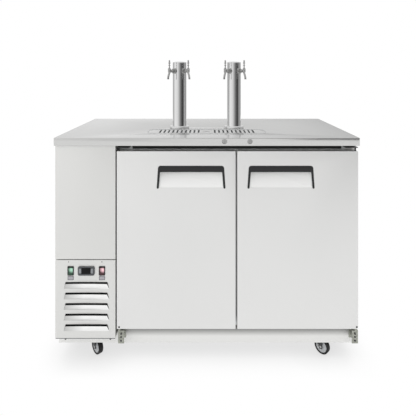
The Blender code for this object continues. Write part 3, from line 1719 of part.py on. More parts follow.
place = Matrix.Translation((bay_middle, shroud_back - SHROUD_THICK / 2, fan_z)) @ Matrix.Rotation(
    math.radians(90), 4, "X"
)
carriers = fan_mount("condenser", hole, MOTOR_LENGTH)
for piece in carriers:
    piece.data.transform(place)
join(shroud, *carriers)
join(coil, shroud)
finish(coil, *ALUMINIUM)
fan("condenser_fan", CONDENSER_FAN_RADIUS, place)

# Evaporator under the keg compartment's ceiling, on its left wall
wall_x = INSIDE_LEFT + SEAT_GAP
face_x = INSIDE_LEFT + EVAPORATOR_DEPTH
cover_top = INSIDE_TOP - SEAT_GAP
cover_low = cover_top - EVAPORATOR_HEIGHT
cover = block(
    "evaporator_cover",
    (wall_x, EVAPORATOR_Y - EVAPORATOR_LENGTH / 2, cover_low),
    (face_x, EVAPORATOR_Y + EVAPORATOR_LENGTH / 2, cover_top),
)
soften(cover, EVAPORATOR_ROUND, 3)
fan_z = (cover_low + cover_top) / 2
hole = EVAPORATOR_FAN_RADIUS + FAN_TIP_GAP
ring_back = face_x - FAN_RING_DEPTH
cut(
    cover,
    block(
        "evaporator_hollow",
        (
            wall_x - OVERRUN,
            EVAPORATOR_Y - EVAPORATOR_LENGTH / 2 + SHROUD_THICK,
            cover_low + SHROUD_THICK,
        ),
        (
            face_x - SHROUD_THICK,
            EVAPORATOR_Y + EVAPORATOR_LENGTH / 2 - SHROUD_THICK,
            cover_top - SHROUD_THICK,
        ),
    ),
)
join(
    cover,
    rod(
        "fan_ring",
        hole + SHROUD_THICK,
        (ring_back, EVAPORATOR_Y, fan_z),
        (face_x - SHROUD_THICK / 2, EVAPORATOR_Y, fan_z),
        36,
    ),
)
cut(
    cover,
    rod(
        "fan_ring_bore",
        hole,
        (ring_back - OVERRUN, EVAPORATOR_Y, fan_z),
        (face_x + OVERRUN, EVAPORATOR_Y, fan_z),
        36,
    ),
)
arms_x = ring_back + SPIDER_THICK * 3 / 2
place = Matrix.Translation((arms_x, EVAPORATOR_Y, fan_z)) @ Matrix.Rotation(
    math.radians(90), 4, "Y"
)
carriers = fan_mount("evaporator", hole, EVAPORATOR_MOTOR_LENGTH)
for piece in carriers:
    piece.data.transform(place)
join(cover, *carriers)
finish(cover, *WHITE_LINER)
fan("evaporator_fan", EVAPORATOR_FAN_RADIUS, place)

bpy.context.view_layer.update()
print(len(parts.objects), "pieces")
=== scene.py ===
# %% [markdown]
# # A two-door draft beer cooler
# A draft beer cooler is a low steel cabinet that keeps kegs cold, with taps on two chromed towers.
# The measured model of every part is loaded first as a fixed frame. Over it this lesson lays the
# finish: rounded sheet edges, turned taps, brushed steel, chrome, black plastic and rubber.

import math

import bmesh
import bpy
from mathutils import Matrix, Vector


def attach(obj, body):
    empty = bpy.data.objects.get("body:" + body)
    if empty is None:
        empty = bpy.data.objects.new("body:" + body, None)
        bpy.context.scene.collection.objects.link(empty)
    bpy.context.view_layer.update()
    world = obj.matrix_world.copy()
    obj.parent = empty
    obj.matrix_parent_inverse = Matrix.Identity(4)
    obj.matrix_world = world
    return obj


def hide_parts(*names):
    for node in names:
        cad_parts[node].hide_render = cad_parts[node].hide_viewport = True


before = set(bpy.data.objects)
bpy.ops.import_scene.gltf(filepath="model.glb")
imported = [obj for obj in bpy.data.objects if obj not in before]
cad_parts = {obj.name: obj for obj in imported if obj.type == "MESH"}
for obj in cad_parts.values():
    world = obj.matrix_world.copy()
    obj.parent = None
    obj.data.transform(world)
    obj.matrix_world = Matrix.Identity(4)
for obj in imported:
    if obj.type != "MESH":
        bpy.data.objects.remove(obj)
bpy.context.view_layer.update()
link = bpy.context.scene.collection.objects.link

# %% [markdown]
# ## Camera
# The photograph was taken square on, from above the counter. The camera stays level, so upright
# edges stay upright, and the lens shift brings the cabinet into the middle of the picture, as a
# view camera does.

# %% Camera
CAMERA_PLACE = (0.0, -2.268, 1.439)
LENS_MM = 34.53
camera_data = bpy.data.cameras.new("camera")
camera_data.lens = LENS_MM
camera_data.sensor_width = 36.0
camera_data.shift_x = 0.003
camera_data.shift_y = -0.3385
camera = bpy.data.objects.new("camera", camera_data)
camera.location = CAMERA_PLACE
camera.rotation_euler = (math.radians(90), 0, 0)
link(camera)
bpy.context.scene.camera = camera
print("camera at", CAMERA_PLACE)

# %% [markdown]
# ## Colours and nodes
# Colours are written as the sRGB hex values that an artist reads off a screen, and one function
# turns them into the linear values that shaders add and multiply. Another adds a node with its
# settings and links, and a few more vary a surface's colour, roughness and relief, so that each
# material below reads as a short list.


# %% Helpers for materials
def linear(hex_colour, alpha=1.0):
    """An sRGB hex colour as linear values."""
    channels = [int(hex_colour[i : i + 2], 16) / 255 for i in (0, 2, 4)]
    return [c / 12.92 if c <= 0.04045 else ((c + 0.055) / 1.055) ** 2.4 for c in channels] + [alpha]


def add_node(tree, kind, links=None, **settings):
    """A node with its settings; a name of an input takes a value, and links join sockets."""
    node = tree.nodes.new(kind)
    for key, value in settings.items():
        if key in node.inputs:
            node.inputs[key].default_value = value
        else:
            setattr(node, key, value)
    for socket, source in (links or {}).items():
        tree.links.new(source, node.inputs[socket])
    return node


def new_material(name, colour, roughness, metallic=0.0):
    """A material with its Principled surface, its node tree and its object coordinates."""
    material = bpy.data.materials.new(name)
    material.use_nodes = True
    tree = material.node_tree
    surface = tree.nodes["Principled BSDF"]
    surface.inputs["Base Color"].default_value = linear(colour)
    surface.inputs["Roughness"].default_value = roughness
    surface.inputs["Metallic"].default_value = metallic
    place = add_node(tree, "ShaderNodeTexCoord").outputs["Object"]
    return material, tree, surface, place


def noise(tree, place, scale, detail):
    """The grey value of a noise."""
    settings = {"Scale": scale, "Detail": detail}
    return add_node(tree, "ShaderNodeTexNoise", {"Vector": place}, **settings).outputs["Fac"]


def map_range(tree, value, start, end, low=0.0, high=1.0):
    """A value carried from one range into another and held at its ends."""
    ends = {"From Min": start, "From Max": end, "To Min": low, "To Max": high}
    return add_node(tree, "ShaderNodeMapRange", {"Value": value}, **ends).outputs["Result"]


def two_tone(surface, factor, first, second):
    """Lets a surface's colour run between two colours."""
    tree = surface.id_data
    blend = add_node(tree, "ShaderNodeMix", {"Factor": factor}, data_type="RGBA")
    blend.inputs[6].default_value, blend.inputs[7].default_value = first, second
    tree.links.new(blend.outputs[2], surface.inputs["Base Color"])
    return blend.outputs[2]


def vary_roughness(surface, value, low, high):
    """Lets a surface's roughness follow a value."""
    tree = surface.id_data
    tree.links.new(map_range(tree, value, 0.0, 1.0, low, high), surface.inputs["Roughness"])


def relief(surface, height, strength, depth):
    """Gives a surface fine relief that follows a value."""
    tree = surface.id_data
    bump = add_node(tree, "ShaderNodeBump", {"Height": height}, Strength=strength, Distance=depth)
    tree.links.new(bump.outputs["Normal"], surface.inputs["Normal"])


MM = 0.001
print("helpers ready")

# %% [markdown]
# ## Brushed stainless steel
# The doors and panels are 430 stainless sheet with a number 4 finish: a belt leaves fine scratches
# that all run one way, so highlights stretch across them. Real scratches are about 0.1 mm apart.
# Here they are drawn 1.5 mm apart, the finest that the render can show. A slow cloud of colour
# stands for the slight waviness of thin sheet.

# %% Brushed stainless steel
SCRATCH_GAP, SCRATCH_LENGTH = 1.5 * MM, 60  # the length in gaps


def brushed_steel(name, colour, roughness, along, metallic):
    """Steel sheet brushed along one axis, 0 for X, 1 for Y and 2 for Z."""
    material, tree, surface, place = new_material(name, colour, roughness, metallic)
    scale = [1.0 / SCRATCH_GAP] * 3
    scale[along] = scale[along] / SCRATCH_LENGTH
    stretch = add_node(tree, "ShaderNodeMapping", {"Vector": place}, Scale=scale)
    grain = noise(tree, stretch.outputs[0], 1.0, 2.0)
    vary_roughness(surface, grain, roughness - 0.05, roughness + 0.06)
    base = linear(colour)[:3]
    darker = [c * 0.97 for c in base] + [1]
    lighter = [min(1, c * 1.03) for c in base] + [1]
    two_tone(surface, noise(tree, place, 2.2, 1.0), darker, lighter)
    relief(surface, grain, 0.03, 0.0002)
    return material


door_steel = brushed_steel("brushed_steel_upright", "E6E6E5", 0.42, 2, metallic=0.75)
panel_steel = brushed_steel("brushed_steel_panel", "E0E0DE", 0.42, 2, metallic=0.75)
counter_steel = brushed_steel("brushed_steel_counter", "CFCFCE", 0.13, 0, metallic=0.9)
liner_steel = brushed_steel("brushed_steel_liner", "C9CBCC", 0.38, 2, metallic=0.8)
print("steel:", door_steel.name, panel_steel.name, counter_steel.name, liner_steel.name)

# %% [markdown]
# ## Chrome plate
# The towers are polished brass with a bright chrome plate. Chrome is nearly a mirror, so its look
# comes from what stands round it. A faint smear of roughness is what hands and cleaning cloths
# leave.

# %% Chrome plate
chrome, tree, surface, place = new_material("chrome_plate", "DEDEDE", 0.07, 1.0)
vary_roughness(surface, noise(tree, place, 30.0, 3.0), 0.04, 0.12)
print("chrome ready")

# %% [markdown]
# ## Galvanised steel
# The lower hinge brackets, the base frame and the back grille are hot-dipped zinc. Zinc freezes in
# flat crystals called spangles, 5 to 10 mm across, each a slightly different grey with a hint of
# green.

# %% Galvanised steel
SPANGLE = 7 * MM
zinc, tree, surface, place = new_material("galvanised_steel", "B4B6AC", 0.45, 0.85)
spangle = add_node(tree, "ShaderNodeTexVoronoi", {"Vector": place}, Scale=1.0 / SPANGLE)
two_tone(surface, spangle.outputs["Color"], linear("8E9088"), linear("B4B6AC"))
print("zinc ready")

# %% [markdown]
# ## Plastics, rubber and enamel
# The handle trims and switches are moulded ABS: a fine spark-eroded grain of about 0.4 mm, drawn
# at 0.8 mm to show. The tyres are rubber and the gaskets soft vinyl, both rougher. The compressor
# is black stove enamel, smooth with a soft orange-peel ripple of some 3 mm.


# %% Moulded plastics, rubber and enamel
def moulded(name, colour, roughness, grain_mm, depth_mm, change=0.08, metallic=0.0):
    """A moulded or sprayed surface: grain in its height and a little in its roughness."""
    material, tree, surface, place = new_material(name, colour, roughness, metallic)
    grain = noise(tree, place, 1.0 / (grain_mm * MM), 2.0)
    relief(surface, grain, 0.25, depth_mm * MM)
    vary_roughness(surface, grain, roughness - change, roughness + change)
    return material


black_abs = moulded("black_abs", "101113", 0.42, 0.8, 0.05)
grey_abs = moulded("grey_abs", "494B4E", 0.48, 0.8, 0.05)
key_grey = moulded("grey_key_abs", "8A8D90", 0.50, 0.8, 0.05)
white_abs = moulded("white_abs_liner", "DCDEDD", 0.45, 1.2, 0.05)
rubber = moulded("black_rubber", "131314", 0.68, 0.9, 0.08)
grey_rubber = moulded("grey_gasket_vinyl", "6E7072", 0.60, 0.9, 0.05)
enamel = moulded("black_enamel", "121213", 0.30, 3.0, 0.10)
fin_aluminium, tree, surface, place = new_material("rolled_aluminium", "C2C5C8", 0.38, 1.0)
FIN_WAVE = 1.0 / (4 * MM) / 6.28
roll = add_node(
    tree, "ShaderNodeTexWave", {"Vector": place}, Scale=FIN_WAVE, Distortion=0.4, bands_direction="Z"
)
relief(surface, roll.outputs["Fac"], 0.4, 0.0006)
print("plastics, rubber, enamel and aluminium ready")

# %% [markdown]
# ## Floor, light and sky
# A studio picture of steel is lit by what the steel mirrors. A pale room gives the sheet its even
# grey. In the sky a bright stretch at the left stands for a lit screen, and a dark band at the
# right for the unlit room: the chrome towers show them as the stripes that make them look round.
# The lamps themselves are hidden from reflections, and the camera sees plain white round the cooler,
# with a painted contact shadow on the floor near the parts.

# %% Floor
floor_mesh = bpy.data.meshes.new("studio_floor")
shape = bmesh.new()
bmesh.ops.create_grid(shape, x_segments=1, y_segments=1, size=12.0)
shape.to_mesh(floor_mesh)
shape.free()
floor = bpy.data.objects.new("studio_floor", floor_mesh)
link(floor)
WHITE = (1, 1, 1, 1)
CONTACT_SHADOW_REACH = 0.16  # how far round itself a part darkens the floor
paper, tree, surface, _ = new_material("studio_paper", "F4F4F4", 0.9)
white = add_node(tree, "ShaderNodeEmission", Color=WHITE)
rays = add_node(tree, "ShaderNodeLightPath")
# painted contact shadow: ambient occlusion darkens the floor's even white glow round each part
contact_shadow = add_node(tree, "ShaderNodeAmbientOcclusion", Distance=CONTACT_SHADOW_REACH, samples=12)
shade = map_range(tree, contact_shadow.outputs["AO"], 0.30, 0.95, 0.72, 1.0)
tree.links.new(shade, white.inputs["Strength"])
seen = add_node(
    tree,
    "ShaderNodeMath",
    {0: rays.outputs["Is Camera Ray"], 1: rays.outputs["Is Glossy Ray"]},
    operation="MAXIMUM",
)
both = add_node(
    tree,
    "ShaderNodeMixShader",
    {"Fac": seen.outputs[0], 1: surface.outputs[0], 2: white.outputs[0]},
)
tree.links.new(both.outputs[0], tree.nodes["Material Output"].inputs["Surface"])
floor_mesh.materials.append(paper)
print("floor ready")

# %% Sky and lamps
world = bpy.data.worlds.new("studio_sky")
world.use_nodes = True
bpy.context.scene.world = world
tree = world.node_tree
background = tree.nodes["Background"]
direction = add_node(tree, "ShaderNodeTexCoord").outputs["Generated"]
parts = add_node(tree, "ShaderNodeSeparateXYZ", {"Vector": direction})
azimuth = add_node(
    tree, "ShaderNodeMath", {0: parts.outputs["X"], 1: parts.outputs["Y"]}, operation="ARCTAN2"
)
turn = map_range(tree, azimuth.outputs[0], -math.pi, math.pi)
screens = add_node(tree, "ShaderNodeValToRGB", {"Fac": turn})
# azimuth 0 is the sky behind the object, and +-180 the sky behind the camera
SKY_STOPS = (
    (0.000, 0.46), (0.050, 0.72), (0.100, 0.88), (0.230, 0.98), (0.285, 0.56), (0.400, 0.48),
    (0.460, 0.84), (0.500, 0.74), (0.540, 0.56), (0.600, 0.38), (0.715, 0.38), (0.780, 0.28),
    (0.812, 0.06), (0.860, 0.06), (0.905, 0.12), (0.955, 0.24), (1.000, 0.46),
)
ramp = screens.color_ramp
ramp.elements[0].position = SKY_STOPS[0][0]
ramp.elements[1].position = SKY_STOPS[-1][0]
for position, grey in SKY_STOPS[1:-1]:
    ramp.elements.new(position)
for element, (position, grey) in zip(sorted(ramp.elements, key=lambda e: e.position), SKY_STOPS):
    element.color = (grey, grey, grey, 1)
rays = add_node(tree, "ShaderNodeLightPath")
plain = add_node(tree, "ShaderNodeBackground", Color=WHITE, Strength=1.0)
even = add_node(tree, "ShaderNodeBackground", Color=WHITE, Strength=0.80)
# higher up the screens give way to a ceiling that is dimmer at the back and at the right
ceiling = map_range(tree, parts.outputs["Z"], 0.06, 0.24)
back_dim = map_range(tree, parts.outputs["Y"], -0.1, 0.5, 0.97, 0.76)
right_dim = map_range(tree, parts.outputs["X"], -0.4, 0.4, 1.03, 0.90)
overhead = add_node(tree, "ShaderNodeMath", {0: back_dim, 1: right_dim}, operation="MULTIPLY")
above = add_node(
    tree,
    "ShaderNodeMix",
    {"Factor": ceiling, 6: screens.outputs["Color"], 7: overhead.outputs[0]},
    data_type="RGBA",
)
tree.links.new(above.outputs[2], background.inputs["Color"])
background.inputs["Strength"].default_value = 1.08
glossy = add_node(
    tree,
    "ShaderNodeMixShader",
    {"Fac": rays.outputs["Is Glossy Ray"], 1: even.outputs[0], 2: background.outputs[0]},
)
sky = add_node(
    tree,
    "ShaderNodeMixShader",
    {"Fac": rays.outputs["Is Camera Ray"], 1: glossy.outputs[0], 2: plain.outputs[0]},
)
tree.links.new(sky.outputs[0], tree.nodes["World Output"].inputs["Surface"])


def soft_lamp(name, power, size, place, aim):
    """A large square lamp pointing at a place."""
    lamp = bpy.data.lights.new(name, "AREA")
    lamp.energy = power
    lamp.size = size
    light = bpy.data.objects.new(name, lamp)
    light.location = place
    light.rotation_euler = (Vector(aim) - Vector(place)).to_track_quat("-Z", "Y").to_euler()
    light.visible_glossy = False  # the sky's bright stretch stands for its reflection
    link(light)


soft_lamp("front_screen", 40, 3.0, (-2.9, -2.6, 2.4), (0, 0, 0.7))
soft_lamp("top_screen", 22, 2.0, (0.4, -0.4, 3.4), (0, 0, 1.0))
bpy.context.scene.view_settings.view_transform = "Standard"
print("sky and lamps ready")

# %% [markdown]
# ## First coat
# Every part of the measured model gets the finish of its real material. Parts that the camera or a
# visitor sees closely are then replaced by finer pieces below.

# %% Finishes for the measured parts
FINISHES = (
    (door_steel, ["door_skin"]),
    (panel_steel, ["left_side_panel", "cabinet_right_wall", "upper_cover", "louvre_panel"]),
    (counter_steel, ["countertop", "drip_grille"]),
    (liner_steel, ["cabinet_floor", "drip_tray_pan"]),
    (white_abs, ["cabinet_ceiling", "cabinet_left_wall", "cabinet_back_wall"]),
    (white_abs, ["evaporator_cover", "door_core"]),
    (zinc, ["back_grille", "base_frame", "lower_hinge", "fork"]),
    (fin_aluminium, ["condenser", "evaporator_fan"]),
    (enamel, ["compressor", "upper_hinge"]),
    (grey_abs, ["controller_case"]),
    (black_abs, ["handle_trim", "switch"]),
    (key_grey, ["key"]),
    (grey_rubber, ["gasket"]),
    (rubber, ["wheel"]),
    (chrome, ["tower", "lock"]),
    (panel_steel, ["kick_plate"]),
)


def finish_for(node):
    """The material of the first row that has a word of the part's name."""
    return next(finish for finish, words in FINISHES if any(word in node for word in words))


for node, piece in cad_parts.items():
    piece.data.materials.clear()
    piece.data.materials.append(finish_for(node))
print(len(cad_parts), "measured parts finished")

# %% [markdown]
# ## Small things
# The lighted rockers are clear coloured ABS over a small lamp, so they are bright in one corner and
# dark towards the others. The display has a smoked acrylic window. The filter behind the louvres is
# open-cell foam with pores of about 2 mm, and the front's screws are blackened steel. Three
# finishes carry painted light, a shade that the photograph shows and the even studio light doesn't
# throw: a painted shadow darkens the kick plate along its top, a painted reflection darkens the
# louvre flaps at their left ends, and a painted highlight makes the scoops behind the handles
# lighter than the doors round them.


# %% Small things
def lit_cap(name, dark, bright, x, z):
    """Clear coloured ABS, brightest over the lamp behind it at this X and Z."""
    material, tree, surface, place = new_material(name, dark, 0.22)
    away = add_node(tree, "ShaderNodeVectorMath", {0: place}, operation="DISTANCE")
    away.inputs[1].default_value = (x, -0.350, z)
    fade = map_range(tree, away.outputs["Value"], 4 * MM, 17 * MM)
    glow = two_tone(surface, fade, linear(bright), linear(dark))
    tree.links.new(glow, surface.inputs["Emission Color"])
    surface.inputs["Emission Strength"].default_value = 0.15
    surface.inputs["Coat Weight"].default_value = 0.4
    return material


def graded(material, axis, start, end, first, second):
    """Lets a material's colour run from one to another between two places on an axis."""
    tree = material.node_tree
    place = add_node(tree, "ShaderNodeTexCoord").outputs["Object"]
    parts = add_node(tree, "ShaderNodeSeparateXYZ", {"Vector": place})
    along = map_range(tree, parts.outputs[axis], start, end)
    two_tone(tree.nodes["Principled BSDF"], along, linear(first), linear(second))


rocker_green = lit_cap("clear_green_abs", "0B3A24", "A9D8BE", -0.6495, 0.4650)
rocker_red = lit_cap("clear_red_abs", "3A0B14", "F6C6CE", -0.4990, 0.4650)
smoked = moulded("smoked_acrylic", "030304", 0.25, 5.0, 0.01, 0.03)
smoked.node_tree.nodes["Principled BSDF"].inputs["Specular IOR Level"].default_value = 0.2
# The scoops behind the handles are a lighter copy of the door steel: a painted highlight for their
# slope, which faces up.
scoop_steel_painted_highlight = brushed_steel("pressed_scoop_steel_painted_highlight", "EDEDEC", 0.34, 0, metallic=0.45)
# The flaps are a lighter copy of the panel's steel, a painted highlight for their upward slope, and
# their left ends are darker, a painted reflection of the room's dark side.
flap_steel_painted_light = brushed_steel("flap_steel_painted_highlight_and_reflection", "F4F4F3", 0.34, 0, metallic=0.45)
FLAP_PAINTED_REFLECTION = (-0.690, -0.590)  # from the dark left end
graded(flap_steel_painted_light, "X", *FLAP_PAINTED_REFLECTION, "BEBEBC", "F8F8F7")
tag_grey = moulded("etched_label_plate", "77757A", 0.45, 0.6, 0.03)
tag_face = moulded("printed_label_face", "A9A7AC", 0.45, 0.6, 0.03)
die_cast = moulded("die_cast_zinc", "B6B6B5", 0.30, 1.0, 0.02, metallic=1.0)
tap_steel = moulded("polished_stainless_tap", "A2A2A1", 0.16, 1.5, 0.01, 0.03, metallic=1.0)
wheel_web = moulded("grey_nylon_web", "C9CBCD", 0.45, 0.8, 0.04)
# The castor forks are grey zinc given a dark colour: a painted shade for the shade they stand in
# under the cabinet.
fork_zinc_painted_shade = moulded("zinc_fork_painted_shade", "4A4B4C", 0.38, 1.2, 0.03, metallic=0.8)
dark_screw = moulded("blackened_steel_screw", "3A3A3B", 0.40, 1.0, 0.02)
filter_foam, tree, surface, place = new_material("filter_foam", "151515", 0.9)
pores = add_node(tree, "ShaderNodeTexVoronoi", {"Vector": place}, Scale=1.0 / (2 * MM))
relief(surface, pores.outputs["Distance"], 0.9, 0.001)
two_tone(surface, pores.outputs["Distance"], linear("020202"), linear("242424"))
# The kick plate's steel carries a painted shadow: its colour is dark along its top, under the doors,
# and runs down to the full colour.
kick_steel_painted_shadow = brushed_steel("brushed_steel_kick_painted_shadow", "DCDCDA", 0.44, 0, metallic=0.6)
KICK_PAINTED_SHADOW = (0.158, 0.112)  # from the dark top down to the full colour
graded(kick_steel_painted_shadow, "Z", *KICK_PAINTED_SHADOW, "4E4E4D", "ECECEA")
copper, tree, surface, place = new_material("drawn_copper", "C97F5A", 0.28, 1.0)
two_tone(surface, noise(tree, place, 40.0, 4.0), linear("A8623F"), linear("D89470"))
print("small materials ready")

# %% [markdown]
# ## Tools for shapes
# Each finer piece is drawn into one bmesh by a few operators: a box with rolled edges, a profile
# turned about an axis, a flat outline with holes, and a pipe along a path. `keep` then welds it,
# turns its faces outward, gives it its material, and fixes it to the body that carries it.


# %% Tools for shapes
def newest(shape, known):
    """The corners added to a shape since it had only the known ones."""
    return [corner for corner in shape.verts if corner not in known]


def at(x, y, z):
    """The matrix that carries a shape to a place."""
    return Matrix.Translation((x, y, z))


def move(shape, corners, place):
    """The corners, moved by a matrix."""
    bmesh.ops.transform(shape, matrix=place, verts=corners)
    return corners


def roll_edges(shape, lines, edge, segments):
    """Rounds some edges of a shape to a radius."""
    bmesh.ops.bevel(
        shape, geom=lines, offset=edge, segments=segments, profile=0.5, affect="EDGES", material=-1
    )


def add_box(shape, low, high, edge=0.0, segments=2, place=Matrix()):
    """A box between two corners, with its edges rolled."""
    known = set(shape.verts)
    low, high = Vector(low), Vector(high)
    made = bmesh.ops.create_cube(shape, size=1.0)["verts"]
    bmesh.ops.scale(shape, vec=high - low, verts=made)
    bmesh.ops.translate(shape, vec=(low + high) / 2, verts=made)
    if edge:
        lines = list(dict.fromkeys(line for corner in made for line in corner.link_edges))
        roll_edges(shape, lines, edge, segments)
    return move(shape, newest(shape, known), place)


def add_turned(shape, profile, place=Matrix(), steps=48):
    """A profile of (radius, height) points turned about its Z axis."""
    known = set(shape.verts)
    row = [shape.verts.new((radius, 0, height)) for radius, height in profile]
    lines = [shape.edges.new(pair) for pair in zip(row, row[1:])]
    bmesh.ops.spin(
        shape, geom=row + lines, cent=(0, 0, 0), axis=(0, 0, 1),
        angle=math.tau, steps=steps, use_merge=True,
    )
    made = newest(shape, known)
    bmesh.ops.remove_doubles(shape, verts=made, dist=0.001 * MM)
    return move(shape, newest(shape, known), place)


def bend(centre_u, centre_v, radius, start, end, count=6):
    """Points of an arc, angles in degrees."""
    angles = [math.radians(start + (end - start) * k / count) for k in range(count + 1)]
    return [(centre_u + radius * math.cos(a), centre_v + radius * math.sin(a)) for a in angles]


def round_box(left, right, low, high, radius, count=6):
    """The outline of a rectangle with round corners."""
    return (
        bend(right - radius, high - radius, radius, 0, 90, count)
        + bend(left + radius, high - radius, radius, 90, 180, count)
        + bend(left + radius, low + radius, radius, 180, 270, count)
        + bend(right - radius, low + radius, radius, 270, 360, count)
    )


def from_curve(shape, curve, place):
    """Turns a curve into mesh inside the shape and clears the curve away."""
    known = set(shape.verts)
    holder = bpy.data.objects.new("drawn", curve)
    link(holder)
    bpy.context.view_layer.update()
    mesh = bpy.data.meshes.new_from_object(
        holder.evaluated_get(bpy.context.evaluated_depsgraph_get())
    )
    shape.from_mesh(mesh)
    bpy.data.objects.remove(holder, do_unlink=True)
    bpy.data.curves.remove(curve)
    bpy.data.meshes.remove(mesh)
    return move(shape, newest(shape, known), place)


def add_plate(shape, rings, low, high, edge=0.0, place=Matrix(), resolution=1):
    """Outlines raised from low to high, inner ones as holes, with rolled edges."""
    curve = bpy.data.curves.new("drawn", "CURVE")
    curve.dimensions = "2D"
    curve.fill_mode = "BOTH"
    curve.extrude = (high - low) / 2 - edge
    curve.bevel_depth = edge
    curve.bevel_resolution = resolution
    curve.offset = -edge
    for ring in rings:
        line = curve.splines.new("POLY")
        line.points.add(len(ring) - 1)
        for point, (u, v) in zip(line.points, ring):
            point.co = (u, v, 0, 1)
        line.use_cyclic_u = True
    return from_curve(shape, curve, place @ at(0, 0, (low + high) / 2))


def add_pipe(shape, points, radius, place=Matrix(), roundness=3, closed=False):
    """A round pipe along a row of points."""
    curve = bpy.data.curves.new("drawn", "CURVE")
    curve.dimensions = "3D"
    curve.bevel_depth = radius
    curve.bevel_resolution = roundness
    curve.use_fill_caps = True
    line = curve.splines.new("POLY")
    line.points.add(len(points) - 1)
    for point, spot in zip(line.points, points):
        point.co = (*spot, 1)
    line.use_cyclic_u = closed
    return from_curve(shape, curve, place)


WELD = 0.002 * MM
SHARP_ANGLE = math.radians(38)


def closed_object(name, shape):
    """The shape, welded and turned outward, as an object of the scene."""
    bmesh.ops.remove_doubles(shape, verts=shape.verts, dist=WELD)
    bmesh.ops.recalc_face_normals(shape, faces=shape.faces)
    mesh = bpy.data.meshes.new(name)
    shape.to_mesh(mesh)
    shape.free()
    piece = bpy.data.objects.new(name, mesh)
    link(piece)
    return piece


def keep(name, shape, material, body, *nodes, slot=None):
    """The finished piece, riding on its body and standing for its measured nodes."""
    piece = closed_object(name, shape)
    piece.data.materials.append(material)
    piece.data.shade_smooth()
    piece.data.set_sharp_from_angle(angle=SHARP_ANGLE)
    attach(piece, body)
    if nodes:
        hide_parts(*nodes)
    return piece


UPRIGHT = Matrix.Rotation(math.radians(90), 4, "X")  # drawn X and Y become X and Z
print("tools for shapes ready")


# %% Cutting one shape from another
def carve(shape, *tools):
    """The shape with the tools cut out of it."""
    pieces = [closed_object(f"cut_{number}", each) for number, each in enumerate((shape, *tools))]
    for tool in pieces[1:]:
        cut = pieces[0].modifiers.new("cut", "BOOLEAN")
        cut.operation = "DIFFERENCE"
        cut.solver = "EXACT"
        cut.object = tool
    bpy.context.view_layer.update()
    graph = bpy.context.evaluated_depsgraph_get()
    mesh = bpy.data.meshes.new_from_object(pieces[0].evaluated_get(graph))
    result = bmesh.new()
    result.from_mesh(mesh)
    for piece in pieces:
        bpy.data.objects.remove(piece, do_unlink=True)
    bpy.data.meshes.remove(mesh)
    return result


print("cutting ready")

# %% [markdown]
# ## Draft towers
# A tower is a 3 inch chromed tube on a foot ring, closed by a domed cap. Its edges are rounded by
# half a millimetre to two and a half. Each catches a thin line of light, as no sharp edge does.

# %% Draft towers
COUNTER_TOP = 1.100
TOWER_Y = -0.029
TOWERS = {"left": -0.1524, "right": 0.1524}
SEAT_GAP = 0.3 * MM  # what lies between a part and the part that it stands on
SCREW_CIRCLE = 0.0465
for side, x in TOWERS.items():
    place = at(x, TOWER_Y, COUNTER_TOP + SEAT_GAP)
    shape = bmesh.new()
    ring = (
        [(0.0351, 0.362), (0.0376, 0.362), (0.0381, 0.3615), (0.0381, 0.0125)]
        + bend(0.0406, 0.0125, 0.0025, 180, 270, 4)
        + bend(0.0525, 0.008, 0.002, 90, 0, 4)
        + [(0.0545, 0.0004), (0.0541, 0), (0.0351, 0), (0.0351, 0.362)]
    )
    add_turned(shape, ring, place, 72)
    keep(side + "_tower_tube", shape, chrome, "cabinet", side + "_tower_column")

    shape = bmesh.new()
    dome = (
        [(0, 0.3702), (0.012, 0.37), (0.024, 0.369), (0.032, 0.3672)]
        + bend(0.0356, 0.3644, 0.0024, 60, 0, 4)
        + [(0.038, 0.3626), (0.0376, 0.3623), (0.0347, 0.3623), (0.0347, 0.353), (0, 0.353)]
    )
    add_turned(shape, dome, place, 72)
    keep(side + "_tower_dome", shape, chrome, "cabinet", side + "_tower_cap")

    shape = bmesh.new()
    for third in range(3):
        angle = math.radians(90 + 120 * third)
        spot = at(SCREW_CIRCLE * math.cos(angle), SCREW_CIRCLE * math.sin(angle), 0.0098)
        head = [(0, 0.0022), (0.0022, 0.0019), (0.0034, 0.0008), (0.0036, 0), (0, 0)]
        add_turned(shape, head, place @ spot, 20)
    keep(side + "_tower_screws", shape, chrome, "cabinet", slot=side + "_tower_column")
print("towers dressed")

# %% [markdown]
# ## Faucets
# A beer faucet screws to the shank that comes through the tower wall. Its body hangs from the
# shank and ends in a spout bent a little outward, so that beer runs down the glass's side. The
# lever stands in a ball joint on top. Pulling it forward opens the valve.

